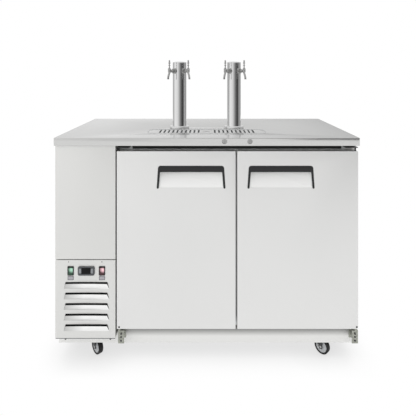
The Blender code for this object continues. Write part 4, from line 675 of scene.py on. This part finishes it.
# %% Faucets and levers
REACH = 0.080
SHANK_UP = 0.318
TAP_TURN = 40  # degrees from the front
LEVER_GAP = 0.5 * MM
SPOUT = [
    (REACH + 0.010 * math.sin(k / 12 * math.pi / 2), 0, -0.009 - 0.036 * k / 12) for k in range(13)
]
ALONG_X = Matrix.Rotation(math.radians(90), 4, "Y")
for side, x in TOWERS.items():
    for hand, sign in (("left", -1), ("right", 1)):
        name = side + "_tower_" + hand
        place = at(x, TOWER_Y, COUNTER_TOP + SHANK_UP) @ Matrix.Rotation(
            math.radians(-90 + sign * TAP_TURN), 4, "Z"
        )
        shape = bmesh.new()
        shank = [
            (0, 0.0265), (0.0080, 0.0265), (0.0080, 0.0384), (0.0140, 0.0384), (0.0145, 0.0389),
            (0.0145, 0.0497), (0.0138, 0.0504), (0.0105, 0.0508), (0.0105, 0.0560), (0.0082, 0.0568),
            (0.0078, 0.0700), (0.0070, 0.0790), (0, 0.0800),
        ]
        add_turned(shape, shank, place @ ALONG_X, 32)
        for notch in range(10):
            spoke = place @ ALONG_X @ Matrix.Rotation(math.tau * notch / 10, 4, "Z")
            add_box(shape, (0.0138, -0.0012, 0.0396), (0.0149, 0.0012, 0.0490), 0.0004, 1, spoke)
        body = [
            (0, 0.0136), (0.0060, 0.0136), (0.0078, 0.0132), (0.0085, 0.0122), (0.0085, 0.0085),
            (0.0074, 0.0070), (0.0074, 0.0040), (0.0082, 0.0010), (0.0078, -0.0040),
            (0.0066, -0.0080), (0.0055, -0.0100), (0.0055, -0.0120), (0, -0.0120),
        ]
        add_turned(shape, body, place @ at(REACH, 0, 0), 32)
        add_pipe(shape, SPOUT, 0.0053, place, 5)
        keep(name + "_tap", shape, tap_steel, "cabinet", name + "_faucet")

        shape = bmesh.new()
        lever = (
            [(0, 0.0450), (0.0022, 0.0449), (0.0030, 0.0443), (0.0041, 0.0420), (0.0038, 0.0340)]
            + [(0.0031, 0.0328), (0.0030, 0.0322), (0.0058, 0.0316), (0.0062, 0.0306)]
            + [(0.0062, 0.0276), (0.0058, 0.0266), (0.0032, 0.0260), (0.0027, 0.0200)]
            + [(0.0052, 0.0190), (0.0055, 0.0180), (0.0055, 0.0150), (0.0050, 0.0142)]
            + [(0.0028, 0.0136)]
            + bend(0, 0, 0.0057, 62, -90, 10)
        )
        add_turned(shape, lever, place @ at(REACH, 0, 0.014 + LEVER_GAP), 24)
        keep(name + "_handle", shape, tap_steel, name + "_lever", name + "_lever")
print("faucets dressed")

# %% [markdown]
# ## Louvred panel
# A louvre is lanced: the press cuts the sheet along the top and both ends, and bends the flap out
# from its bottom edge. The panel is one outline with five such holes, and each flap is a thin
# arched sheet that bulges most at its middle. A dark foam filter behind them keeps dust off the
# condenser.

# %% Louvred panel
FRONT = -0.346  # front of the doors and panels
BAY_X = (-0.730, -0.440)
PANEL_LOW, PANEL_TOP = 0.134, 0.510
COVER_LOW, COVER_TOP = 0.514, 1.060
PANEL_BACK = -0.2959
SHEET = 1.5 * MM
LOUVRE_X = -0.5795
LOUVRE_HOLE = ((-0.1095, -0.030), (0.1095, -0.030), (0.1005, 0.002), (-0.1005, 0.002))
LOUVRE_TOPS = [0.402 - row * 0.0509 for row in range(5)]
CONTROL_X, CONTROL_Z = -0.580, 0.4585
SWITCHES = {"left": CONTROL_X - 0.0755, "right": CONTROL_X + 0.0755}


def facing(low_y):
    """Drawn X and Z, standing with the drawn height running back from this Y."""
    return at(0, low_y, 0) @ UPRIGHT @ Matrix.Scale(-1, 4, (0, 0, 1))


def sheet_panel(shape, low, high, holes):
    """A panel of the bay: its face with holes, and its four edges folded back to the cabinet."""
    left, right = BAY_X
    face = round_box(left, right, low, high, 1.2 * MM, 3)
    add_plate(shape, [face] + holes, 0, SHEET, 0.6 * MM, facing(FRONT), 2)
    front, back = FRONT + 1.2 * MM, PANEL_BACK
    for a, b in (
        ((left, front, low + SHEET), (left + SHEET, back, high - SHEET)),
        ((right - SHEET, front, low + SHEET), (right, back, high - SHEET)),
        ((left + 1 * MM, front, low), (right - 1 * MM, back, low + SHEET)),
        ((left + 1 * MM, front, high - SHEET), (right - 1 * MM, back, high)),
    ):
        add_box(shape, a, b, 0.4 * MM, 1)


shape = bmesh.new()
holes = [[(LOUVRE_X + u, top + v) for u, v in LOUVRE_HOLE] for top in LOUVRE_TOPS]
for x, half_wide, half_high in (
    (CONTROL_X, 0.034, 0.0160),
    (SWITCHES["left"], 0.0125, 0.0195),
    (SWITCHES["right"], 0.0125, 0.0195),
):
    corners = ((-1, -1), (1, -1), (1, 1), (-1, 1))
    holes.append([(x + u * half_wide, CONTROL_Z + v * half_high) for u, v in corners])
sheet_panel(shape, PANEL_LOW, PANEL_TOP, holes)
keep("louvre_face", shape, panel_steel, "cabinet", "louvre_panel")

shape = bmesh.new()
FLAP_HIGH, FLAP_PROUD, FLAP_SHEET = 0.0275, 0.0088, 1.1 * MM
for top in LOUVRE_TOPS:
    known = set(shape.verts)
    leaf = bmesh.ops.create_grid(shape, x_segments=20, y_segments=8, size=1.0)["verts"]
    for corner in leaf:
        along, up = corner.co.x, (corner.co.y + 1) / 2
        arch = 1 - 0.42 * along * along  # the flap bulges most at its middle
        corner.co = (
            LOUVRE_X + along * (0.1093 - 0.0090 * up),
            FRONT + FLAP_SHEET - FLAP_PROUD * arch * math.sin(up * math.pi / 2),
            top - 0.030 + up * (FLAP_HIGH - 0.0030 * along * along),
        )
    skin = list(dict.fromkeys(face for corner in leaf for face in corner.link_faces))
    bmesh.ops.recalc_face_normals(shape, faces=skin)
    bmesh.ops.solidify(shape, geom=skin, thickness=FLAP_SHEET)
keep("louvre_flaps", shape, flap_steel_painted_light, "cabinet", slot="louvre_panel")

# A thin grey strip along the panel's bottom edge is a painted shadow for the shade under its folded
# lip.
shape = bmesh.new()
add_box(shape, (-0.7285, -0.3457, 0.1303), (-0.4415, -0.3005, 0.1340), 0.5 * MM, 2)
keep("panel_lip_shadow_strip", shape, grey_rubber, "cabinet", slot="louvre_panel")

shape = bmesh.new()
add_box(shape, (-0.706, -0.3395, 0.150), (-0.453, -0.3315, 0.414), 2 * MM, 2)
keep("air_filter", shape, filter_foam, "cabinet", slot="louvre_panel")

shape = bmesh.new()
sheet_panel(shape, COVER_LOW, COVER_TOP, [])
keep("bay_cover", shape, panel_steel, "cabinet", "upper_cover")

shape = bmesh.new()
for x, z, y, radius in (
    (-0.681, 0.1278, -0.3430, 0.0042),
    (-0.465, 0.1278, -0.3430, 0.0042),
    (-0.666, 0.501, FRONT, 0.0020),
    (-0.505, 0.501, FRONT, 0.0024),
):
    head = [(0, 0.0016), (radius * 0.7, 0.0014), (radius, 0.0006), (radius, 0), (0, 0)]
    add_turned(shape, head, at(x, y, z) @ UPRIGHT, 20)
keep("panel_screws", shape, dark_screw, "cabinet", slot="louvre_panel")
print("bay panels dressed")

# %% [markdown]
# ## Controls
# The thermostat is a moulded case with a smoked window and two keys. Each lighted rocker has a
# black frame and a coloured cap with one end pressed in, the left one green and the right one red.

# %% Controls
shape = bmesh.new()
bezel = round_box(-0.040, 0.040, -0.0215, 0.0215, 0.008, 6)
window = round_box(-0.0222, 0.0222, -0.0135, 0.0160, 0.0015, 3)
at_control = at(CONTROL_X, 0, CONTROL_Z)
add_plate(shape, [bezel, window], 0, 5.6 * MM, 1.8 * MM, at_control @ facing(FRONT - 0.0060), 3)
back_box = round_box(-0.034, 0.034, -0.0160, 0.0160, 0.002, 3)
add_plate(shape, [back_box], 0, 0.050, 0, at_control @ facing(FRONT - 0.0030))
keep("thermostat_case", shape, grey_abs, "cabinet", "controller_case")

shape = bmesh.new()
add_plate(shape, [window], 0, 1.2 * MM, 0.3 * MM, at_control @ facing(FRONT - 0.0052), 1)
keep("display_window", shape, smoked, "cabinet", slot="controller_case")

for hand, sign in (("left", -1), ("right", 1)):
    name = "controller_" + hand + "_key"
    shape = bmesh.new()
    cap = round_box(-0.0055, 0.0055, -0.0110, 0.0110, 0.0022, 5)
    at_key = at(CONTROL_X + sign * 0.0285, 0, CONTROL_Z + 0.0015)
    add_plate(shape, [cap], 0, 2.6 * MM, 0.6 * MM, at_key @ facing(FRONT - 0.0072), 2)
    for middle in (-0.0035, 0.0035):
        low, high = (-0.0030, -0.0003, middle - 0.0006), (0.0030, 0.0002, middle + 0.0006)
        add_box(shape, low, high, 0.1 * MM, 1, at_key @ at(0, FRONT - 0.0072, 0))
    keep(name + "_cap", shape, key_grey, name, name)

ROCKER_TILT = Matrix.Rotation(math.radians(9) / 2, 4, "X")
for hand, x in SWITCHES.items():
    at_switch = at(x, 0, CONTROL_Z)
    shape = bmesh.new()
    rim = round_box(-0.0150, 0.0150, -0.0220, 0.0220, 0.003, 5)
    well = round_box(-0.0115, 0.0115, -0.0185, 0.0185, 0.001, 3)
    add_plate(shape, [rim, well], 0, 2.8 * MM, 0.9 * MM, at_switch @ facing(FRONT - 0.0030), 2)
    outer = round_box(-0.0124, 0.0124, -0.0194, 0.0194, 0.001, 3)
    add_plate(shape, [outer, well], 0, 0.018, 0, at_switch @ facing(FRONT - 0.0010))
    add_plate(shape, [outer], 0, 0.006, 0, at_switch @ facing(FRONT + 0.0160))
    keep("switch_" + hand + "_rim", shape, black_abs, "cabinet", "switch_" + hand + "_frame")

    name = "switch_" + hand + "_rocker"
    pivot = at(x, FRONT + 0.005, CONTROL_Z) @ ROCKER_TILT
    reach = 0.0173
    crown = [(-0.0105, -reach)] + [
        (-0.0105 + 0.0024 * math.cos(k / 8 * math.pi / 2), reach * math.sin(k / 8 * math.pi / 2))
        for k in range(-7, 8)
    ]
    crown += [(-0.0105, reach), (-0.0095, reach + 0.0004), (-0.002, 0.0062), (-0.002, -0.0062)]
    crown += [(-0.0095, -reach - 0.0004)]
    shape = bmesh.new()
    to_side = Matrix.Rotation(math.radians(90), 4, "Z") @ UPRIGHT
    add_plate(shape, [crown], -0.0109, 0.0109, 0.5 * MM, pivot @ to_side, 1)
    keep(name + "_cap", shape, rocker_green if hand == "left" else rocker_red, name, name)

    shape = bmesh.new()
    tag = round_box(-0.0145, 0.0145, -0.0100, 0.0100, 0.003, 4)
    inner = round_box(-0.0118, 0.0118, -0.0073, 0.0073, 0.0015, 3)
    at_tag = at(x, 0, CONTROL_Z - 0.0350)
    add_plate(shape, [tag, inner], 0, 0.9 * MM, 0.3 * MM, at_tag @ facing(FRONT - 0.0010), 1)
    keep("switch_" + hand + "_tag", shape, tag_grey, "cabinet", slot="switch_" + hand + "_frame")
    shape = bmesh.new()
    add_plate(shape, [inner], 0, 0.5 * MM, 0.1 * MM, at_tag @ facing(FRONT - 0.0006))
    keep("switch_" + hand + "_label", shape, tag_face, "cabinet", slot="switch_" + hand + "_frame")
print("controls dressed")

# %% [markdown]
# ## Doors
# Each door is a folded steel pan filled with foam. The handle is a scoop pressed into the pan:
# its back slopes in under a black trim, so that fingers hook behind the trim's bar. The pan's
# folds have a radius of about 2 mm, which draws a thin light line round each door.

# %% Doors
DOOR_LOW, DOOR_TOP, DOOR_BACK = 0.177, 1.034, -0.301
HANDLE_TOP, HANDLE_LOW = 0.964, 0.854
HINGE_Y = FRONT + 0.010
DOORS = {
    "left": (-0.434, 0.139, -0.241, 0.090, -0.423),
    "right": (0.147, 0.730, 0.196, 0.519, 0.719),
}  # left and right edge, left and right end of the handle, hinge pin
MOUTH_LOW, MOUTH_TOP = 0.858, 0.960


def wedge(left, right, corners):
    """A solid between two X whose side view has these corners, Y from the front and Z."""
    solid = bmesh.new()
    for x in (left, right):
        for y, z in corners:
            solid.verts.new((x, FRONT + y, z))
    bmesh.ops.convex_hull(solid, input=solid.verts[:])
    return solid


for side, (left, right, trim_left, trim_right, pin_x) in DOORS.items():
    body = side + "_door"
    shape = bmesh.new()
    add_box(shape, (left, FRONT, DOOR_LOW), (right, DOOR_BACK, DOOR_TOP), 2.2 * MM, 4)
    inside = bmesh.new()
    low = (left + SHEET, FRONT + SHEET, DOOR_LOW + SHEET)
    add_box(inside, low, (right - SHEET, 0, DOOR_TOP - SHEET), 1.2 * MM, 1)
    bores = bmesh.new()
    for z in (DOOR_LOW + 0.004, DOOR_TOP - 0.004):
        bore = [(0, 0.012), (0.0046, 0.012), (0.0046, -0.012), (0, -0.012)]
        add_turned(bores, bore, at(pin_x, HINGE_Y, z), 32)
    mouth_left, mouth_right = trim_left + 0.012, trim_right - 0.012
    mouth = bmesh.new()
    ring = round_box(mouth_left, mouth_right, MOUTH_LOW, MOUTH_TOP, 0.006, 5)
    add_plate(mouth, [ring], -0.010, 0.003, 0, facing(FRONT))
    shape = carve(shape, inside, bores, mouth)
    corners = ((0.0010, 0.8575), (0.0024, 0.8575), (0.0010, 0.9605), (0.0310, 0.9605))
    slope = wedge(mouth_left - 0.001, mouth_right + 0.001, corners)
    corners = ((-0.0100, MOUTH_LOW), (0.0006, MOUTH_LOW), (-0.0100, MOUTH_TOP), (0.0300, MOUTH_TOP))
    hollow = wedge(mouth_left, mouth_right, corners)
    lines = [
        line
        for line in hollow.edges
        if min(corner.co.y for corner in line.verts) > FRONT - 0.001
        or abs(line.verts[0].co.y - line.verts[1].co.y) > 0.02
    ]
    roll_edges(hollow, lines, 5 * MM, 5)
    keep(side + "_door_scoop", carve(slope, hollow), scoop_steel_painted_highlight, body, slot=side + "_door_skin")
    keep(side + "_door_pan", shape, door_steel, body, side + "_door_skin")

    shape = bmesh.new()
    leg, bar, splay, corner = 0.010, 0.030, 0.006, 0.013
    ring = (
        bend(trim_left + leg / 2, HANDLE_LOW + leg / 2, leg / 2, 0, -180, 8)
        + bend(trim_left + splay + corner, HANDLE_TOP - corner, corner, 180, 90, 8)
        + bend(trim_right - splay - corner, HANDLE_TOP - corner, corner, 90, 0, 8)
        + bend(trim_right - leg / 2, HANDLE_LOW + leg / 2, leg / 2, 0, -180, 8)
        + bend(trim_right - splay - leg - 0.004, HANDLE_TOP - bar - 0.004, 0.004, 0, 90, 4)
        + bend(trim_left + splay + leg + 0.004, HANDLE_TOP - bar - 0.004, 0.004, 90, 180, 4)
    )
    add_plate(shape, [ring], 0, 2.2 * MM, 0.9 * MM, facing(FRONT - 0.0025), 3)
    low = (trim_left + 0.018, FRONT - 0.0005, 0.9342)
    add_box(shape, low, (trim_right - 0.018, FRONT + 0.0090, 0.9385), 1.5 * MM, 3)
    keep(side + "_handle_frame", shape, black_abs, body, side + "_handle_trim")

    shape = bmesh.new()
    outer = pin_x + (0.0005 if side == "left" else 0.0040)
    head = [(0, 0.0012), (0.0025, 0.0011), (0.0042, 0.0006), (0.0046, 0), (0, 0)]
    add_turned(shape, head, at(outer, FRONT + 0.0002, DOOR_LOW + 0.010) @ UPRIGHT, 24)
    keep(side + "_door_plug", shape, black_abs, body, slot=side + "_handle_trim")
# A black strip above the doors, under the counter, is a painted shade for the shadowed gap there.
shape = bmesh.new()
add_box(shape, (-0.366, -0.2990, 1.0365), (0.664, -0.2957, 1.0612), 1 * MM, 2)
keep("head_gap_shadow_strip", shape, rubber, "cabinet", slot="cabinet_ceiling")
print("doors dressed")

# %% [markdown]
# ## Countertop, drip tray and locks
# The counter is steel sheet folded over a board, with edges rolled to about 1 mm. The drip tray's
# ring and the grille lie flush in it. Each slot of the grille is punched, so its rim is slightly
# rolled. Two cam locks sit in the counter's front edge, on either side of the doors' meeting line.

# %% Countertop
TRAY = (-0.308, 0.308, -0.223, -0.087, 0.038)  # left, right, front, back, corner


def tray_outline(inset):
    """The tray's outline, drawn smaller by an inset."""
    left, right, front, back, corner = TRAY
    return round_box(left + inset, right - inset, front + inset, back - inset, corner - inset, 12)


def disc(x, y, radius, count=48):
    """The outline of a circle."""
    return bend(x, y, radius, 0, 360 * (count - 1) / count, count - 1)


LOCKS = {"left": 0.085, "right": 0.207}
LOCK_Z, COUNTER_FRONT, COUNTER_HALF, COUNTER_LOW = 1.083, -0.357, 0.734, 1.062
shape = bmesh.new()
slab = round_box(-COUNTER_HALF, COUNTER_HALF, COUNTER_FRONT, -COUNTER_FRONT, 3 * MM, 5)
holes = [tray_outline(0)] + [disc(x, TOWER_Y, 0.0351) for x in TOWERS.values()]
add_plate(shape, [slab] + holes, COUNTER_LOW, COUNTER_TOP, 1.2 * MM, Matrix(), 3)
seats = bmesh.new()
for x in LOCKS.values():
    seat = [(0, 0.010), (0.0123, 0.010), (0.0123, -0.0033)]
    seat += [(0.0098, -0.0033), (0.0098, -0.0223), (0, -0.0223)]
    add_turned(seats, seat, at(x, COUNTER_FRONT, LOCK_Z) @ UPRIGHT, 48)
keep("counter_sheet", carve(shape, seats), counter_steel, "cabinet", "countertop")
print("counter dressed")

# %% Drip tray
shape = bmesh.new()
rim = [tray_outline(0.3 * MM), tray_outline(1.8 * MM)]
add_plate(shape, rim, COUNTER_TOP - 0.026, COUNTER_TOP, 0.5 * MM)
ledge = [tray_outline(1.6 * MM), tray_outline(7.8 * MM)]
add_plate(shape, ledge, COUNTER_TOP - 0.0255, COUNTER_TOP - 3.3 * MM, 0.3 * MM)
floor_ring = [tray_outline(7 * MM), disc(0, -0.155, 0.009)]
add_plate(shape, floor_ring, COUNTER_TOP - 0.026, COUNTER_TOP - 0.0245)
keep("drip_pan", shape, liner_steel, "cabinet", "drip_tray_pan")

SLOT_PITCH, SLOT_HALF = 0.0224, 0.0045
shape = bmesh.new()
rings = [tray_outline(2.6 * MM)]
for group in (-0.1434, 0.1434):
    for column in range(10):
        x = group + (column - 4.5) * SLOT_PITCH
        rings.append(round_box(x - SLOT_HALF, x + SLOT_HALF, -0.2025, -0.1075, 0.00449, 6))
rings.append(round_box(-0.0115, 0.0115, -0.159, -0.151, 0.00399, 6))
add_plate(shape, rings, COUNTER_TOP - 3 * MM, COUNTER_TOP - 0.5 * MM, 0.35 * MM)
keep("tray_grille", shape, counter_steel, "drip_grille", "drip_grille")
print("drip tray dressed")

# %% Locks
for side, x in LOCKS.items():
    shape = bmesh.new()
    head = [
        (0, -0.0006), (0.0070, -0.0006), (0.0074, -0.0014), (0.0082, -0.0014), (0.0088, -0.0002),
        (0.0110, -0.0001), (0.0118, -0.0007), (0.0120, -0.0016), (0.0120, -0.0030), (0.0095, -0.0030),
        (0.0095, -0.0220), (0, -0.0220),
    ]
    add_turned(shape, head, at(x, COUNTER_FRONT, LOCK_Z) @ UPRIGHT, 48)
    slot = bmesh.new()
    low, high = (x - 0.0013, -0.37, LOCK_Z - 0.0055), (x + 0.0013, -0.350, LOCK_Z + 0.0055)
    add_box(slot, low, high, 0.3 * MM, 1)
    keep(side + "_lock_barrel", carve(shape, slot), die_cast, side + "_lock", side + "_lock")
# A thin black ring round each lock fills the gap of its seat: a painted shade for that gap.
shape = bmesh.new()
for x in LOCKS.values():
    washer = [(0.0121, -0.0031), (0.0123, -0.0031), (0.0123, -0.0004), (0.0121, -0.0004)]
    add_turned(shape, washer + washer[:1], at(x, COUNTER_FRONT, LOCK_Z) @ UPRIGHT, 48)
keep("lock_gap_shadow_rings", shape, rubber, "cabinet", slot="countertop")
print("locks dressed")

# %% [markdown]
# ## Castors
# A swivel castor has a plate fork on a ball race. The wheel is a grey nylon web with a black
# rubber tyre moulded round it, and it runs on an axle bolt with a locking nut. The wheel trails
# behind the kingpin, which is why a castor turns by itself into the way it is pushed.

# %% Castors
WHEEL_R, TRAIL, FORK_TOP, BOLT_HALF = 0.0375, 0.022, 0.101, 0.0170
CASTOR_TURN = Matrix.Rotation(math.radians(-45), 4, "Z")
CASTORS = {
    "front_left": (-0.566, -0.2415),
    "front_right": (0.566, -0.2415),
    "back_left": (-0.566, 0.237),
    "back_right": (0.566, 0.237),
}
tyre = (
    [(0.0285, 0.0098), (0.0300, 0.0112), (0.0325, 0.0120)]
    + bend(0.0345, 0.0090, 0.0030, 90, 0, 6)
    + bend(0.0345, -0.0090, 0.0030, 0, -90, 6)
    + [(0.0325, -0.0120), (0.0300, -0.0112), (0.0285, -0.0098), (0.0270, 0), (0.0285, 0.0098)]
)
web = [
    (0.0046, 0.0134), (0.0095, 0.0134), (0.0102, 0.0120), (0.0110, 0.0080), (0.0190, 0.0070),
    (0.0250, 0.0078), (0.0272, 0.0098), (0.0284, 0.0096), (0.0268, 0), (0.0284, -0.0096),
    (0.0272, -0.0098), (0.0250, -0.0078), (0.0190, -0.0070), (0.0110, -0.0080), (0.0102, -0.0120),
    (0.0095, -0.0134), (0.0046, -0.0134), (0.0046, 0.0134),
]
for where, (x, y) in CASTORS.items():
    place = at(x, y, 0) @ CASTOR_TURN
    axle = place @ at(TRAIL, 0, WHEEL_R) @ UPRIGHT
    wheel, fork = "castor_wheel_" + where, "castor_fork_" + where
    shape = bmesh.new()
    add_turned(shape, tyre, axle, 64)
    keep(wheel + "_tyre", shape, rubber, wheel, wheel)
    shape = bmesh.new()
    add_turned(shape, web, axle, 48)
    for spoke in range(6):
        turn = axle @ Matrix.Rotation(math.tau * spoke / 6, 4, "Z")
        for low, high in ((0.0068, 0.0094), (-0.0094, -0.0068)):
            add_box(shape, (0.0100, -0.0011, low), (0.0262, 0.0011, high), 0.4 * MM, 1, turn)
    keep(wheel + "_web", shape, wheel_web, wheel, slot=wheel)

    shape = bmesh.new()
    low = FORK_TOP - 0.006
    race = [(0.0063, low - 0.003), (0.0215, low - 0.003), (0.0225, low - 0.001)]
    race += [(0.0235, low), (0.0240, low + 0.0015), (0.0240, low + 0.0045), (0.0225, FORK_TOP)]
    race += [(0.0063, FORK_TOP), (0.0063, low - 0.003)]
    add_turned(shape, race, place, 48)
    add_box(shape, (-0.024, -0.0165, low - 0.003), (0.026, -0.0090, low), 1 * MM, 2, place)
    add_box(shape, (-0.024, 0.0090, low - 0.003), (0.026, 0.0165, low), 1 * MM, 2, place)
    leg = (
        bend(TRAIL, WHEEL_R, 0.0105, 20, -200, 12)
        + [(-0.012, 0.066), (-0.020, low - 0.003), (-0.022, low), (0.025, low)]
        + [(0.0255, low - 0.003), (0.026, 0.070)]
    )
    for inner, outer in ((-0.0170, -0.0144), (0.0144, 0.0170)):
        add_plate(shape, [leg], -outer, -inner, 0.7 * MM, place @ UPRIGHT, 2)
    keep(fork + "_plates", shape, fork_zinc_painted_shade, fork, fork)

    shape = bmesh.new()
    for side in (-1, 1):
        place = axle @ at(0, 0, side * BOLT_HALF) @ Matrix.Scale(side, 4, (0, 0, 1))
        nut = [(0, 0.0010), (0.0045, 0.0010), (0.0058, 0.0004), (0.0058, 0), (0, 0)]
        add_turned(shape, nut, place, 6)
    bolt = [(0, BOLT_HALF), (0.0040, BOLT_HALF), (0.0040, -BOLT_HALF), (0, -BOLT_HALF)]
    add_turned(shape, bolt, axle, 24)
    keep(fork + "_axle", shape, die_cast, fork, slot=fork)
print("castors dressed")

# %% [markdown]
# ## Hinge screws and kick plate
# Three dark screws hold each lower hinge bracket. The kick plate under the doors is plain sheet, with
# a painted shadow along its top.

# %% Hinge screws and kick plate
shape = bmesh.new()
for x in (-0.4135, 0.7155):
    for z in (0.152, 0.137, 0.119):
        head = [(0, 0.0006), (0.0020, 0.0006), (0.0026, 0.0018), (0.0040, 0.0014)]
        head += [(0.0044, 0.0004), (0.0044, 0), (0, 0)]
        add_turned(shape, head, at(x, -0.3425, z) @ UPRIGHT, 24)
keep("hinge_screws", shape, dark_screw, "cabinet", slot="left_lower_hinge")
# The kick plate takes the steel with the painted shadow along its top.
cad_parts["kick_plate"].data.materials[0] = kick_steel_painted_shadow
print("base dressed")

# %% [markdown]
# ## Cold side and back
# The evaporator's fan has a wire guard: rings on two crossed bars. Copper bends join the rows of
# the condenser's tube. The back sheet is held by rows of small screws.

# %% Cold side and back
shape = bmesh.new()
GUARD_X, GUARD_Y, GUARD_Z = -0.2800, 0.060, 0.8827
for radius in (0.014, 0.028, 0.042, 0.056, 0.070, 0.081):
    ring = [(GUARD_X, GUARD_Y + u, GUARD_Z + v) for u, v in disc(0, 0, radius, 48)]
    add_pipe(shape, ring, 0.9 * MM, roundness=2, closed=True)
for angle in (45, 135):
    along = Vector((0, math.cos(math.radians(angle)), math.sin(math.radians(angle)))) * 0.083
    middle = Vector((GUARD_X - 1.0 * MM, GUARD_Y, GUARD_Z))
    add_pipe(shape, [middle - along, middle + along], 1.1 * MM, roundness=2)
keep("evaporator_guard", shape, die_cast, "cabinet", slot="evaporator_cover")

COIL_ENDS = {-0.7030: -1, -0.4640: 1}  # the X of each end, and the way its bends stand out
ROW_LOW, ROW_PITCH = 0.125, 0.026
shape = bmesh.new()
for side, outward in COIL_ENDS.items():
    for row in range(9):
        z = ROW_LOW + ROW_PITCH * row
        arc = [(math.sin(math.pi * k / 8), math.cos(math.pi * k / 8)) for k in range(9)]
        turn = [(side + outward * 0.006 * u, -0.246 - 0.009 * v, z) for u, v in arc]
        add_pipe(shape, turn, 3 * MM, roundness=3)
keep("condenser_bends", shape, copper, "cabinet", slot="condenser")

BACK_SHEET = 0.3470
shape = bmesh.new()
spots = [(x, z) for x in (-0.410, -0.140, 0.140, 0.420, 0.705) for z in (0.130, 1.035)]
spots += [(x, z) for x in (-0.410, 0.705) for z in (0.360, 0.585, 0.810)]
for x, z in spots:
    head = [(0, 0.0016), (0.0026, 0.0013), (0.0036, 0.0005), (0.0036, 0), (0, 0)]
    add_turned(shape, head, at(x, BACK_SHEET, z) @ UPRIGHT.inverted(), 20)
keep("back_screws", shape, die_cast, "cabinet", slot="cabinet_back_wall")
print("cold side and back dressed")
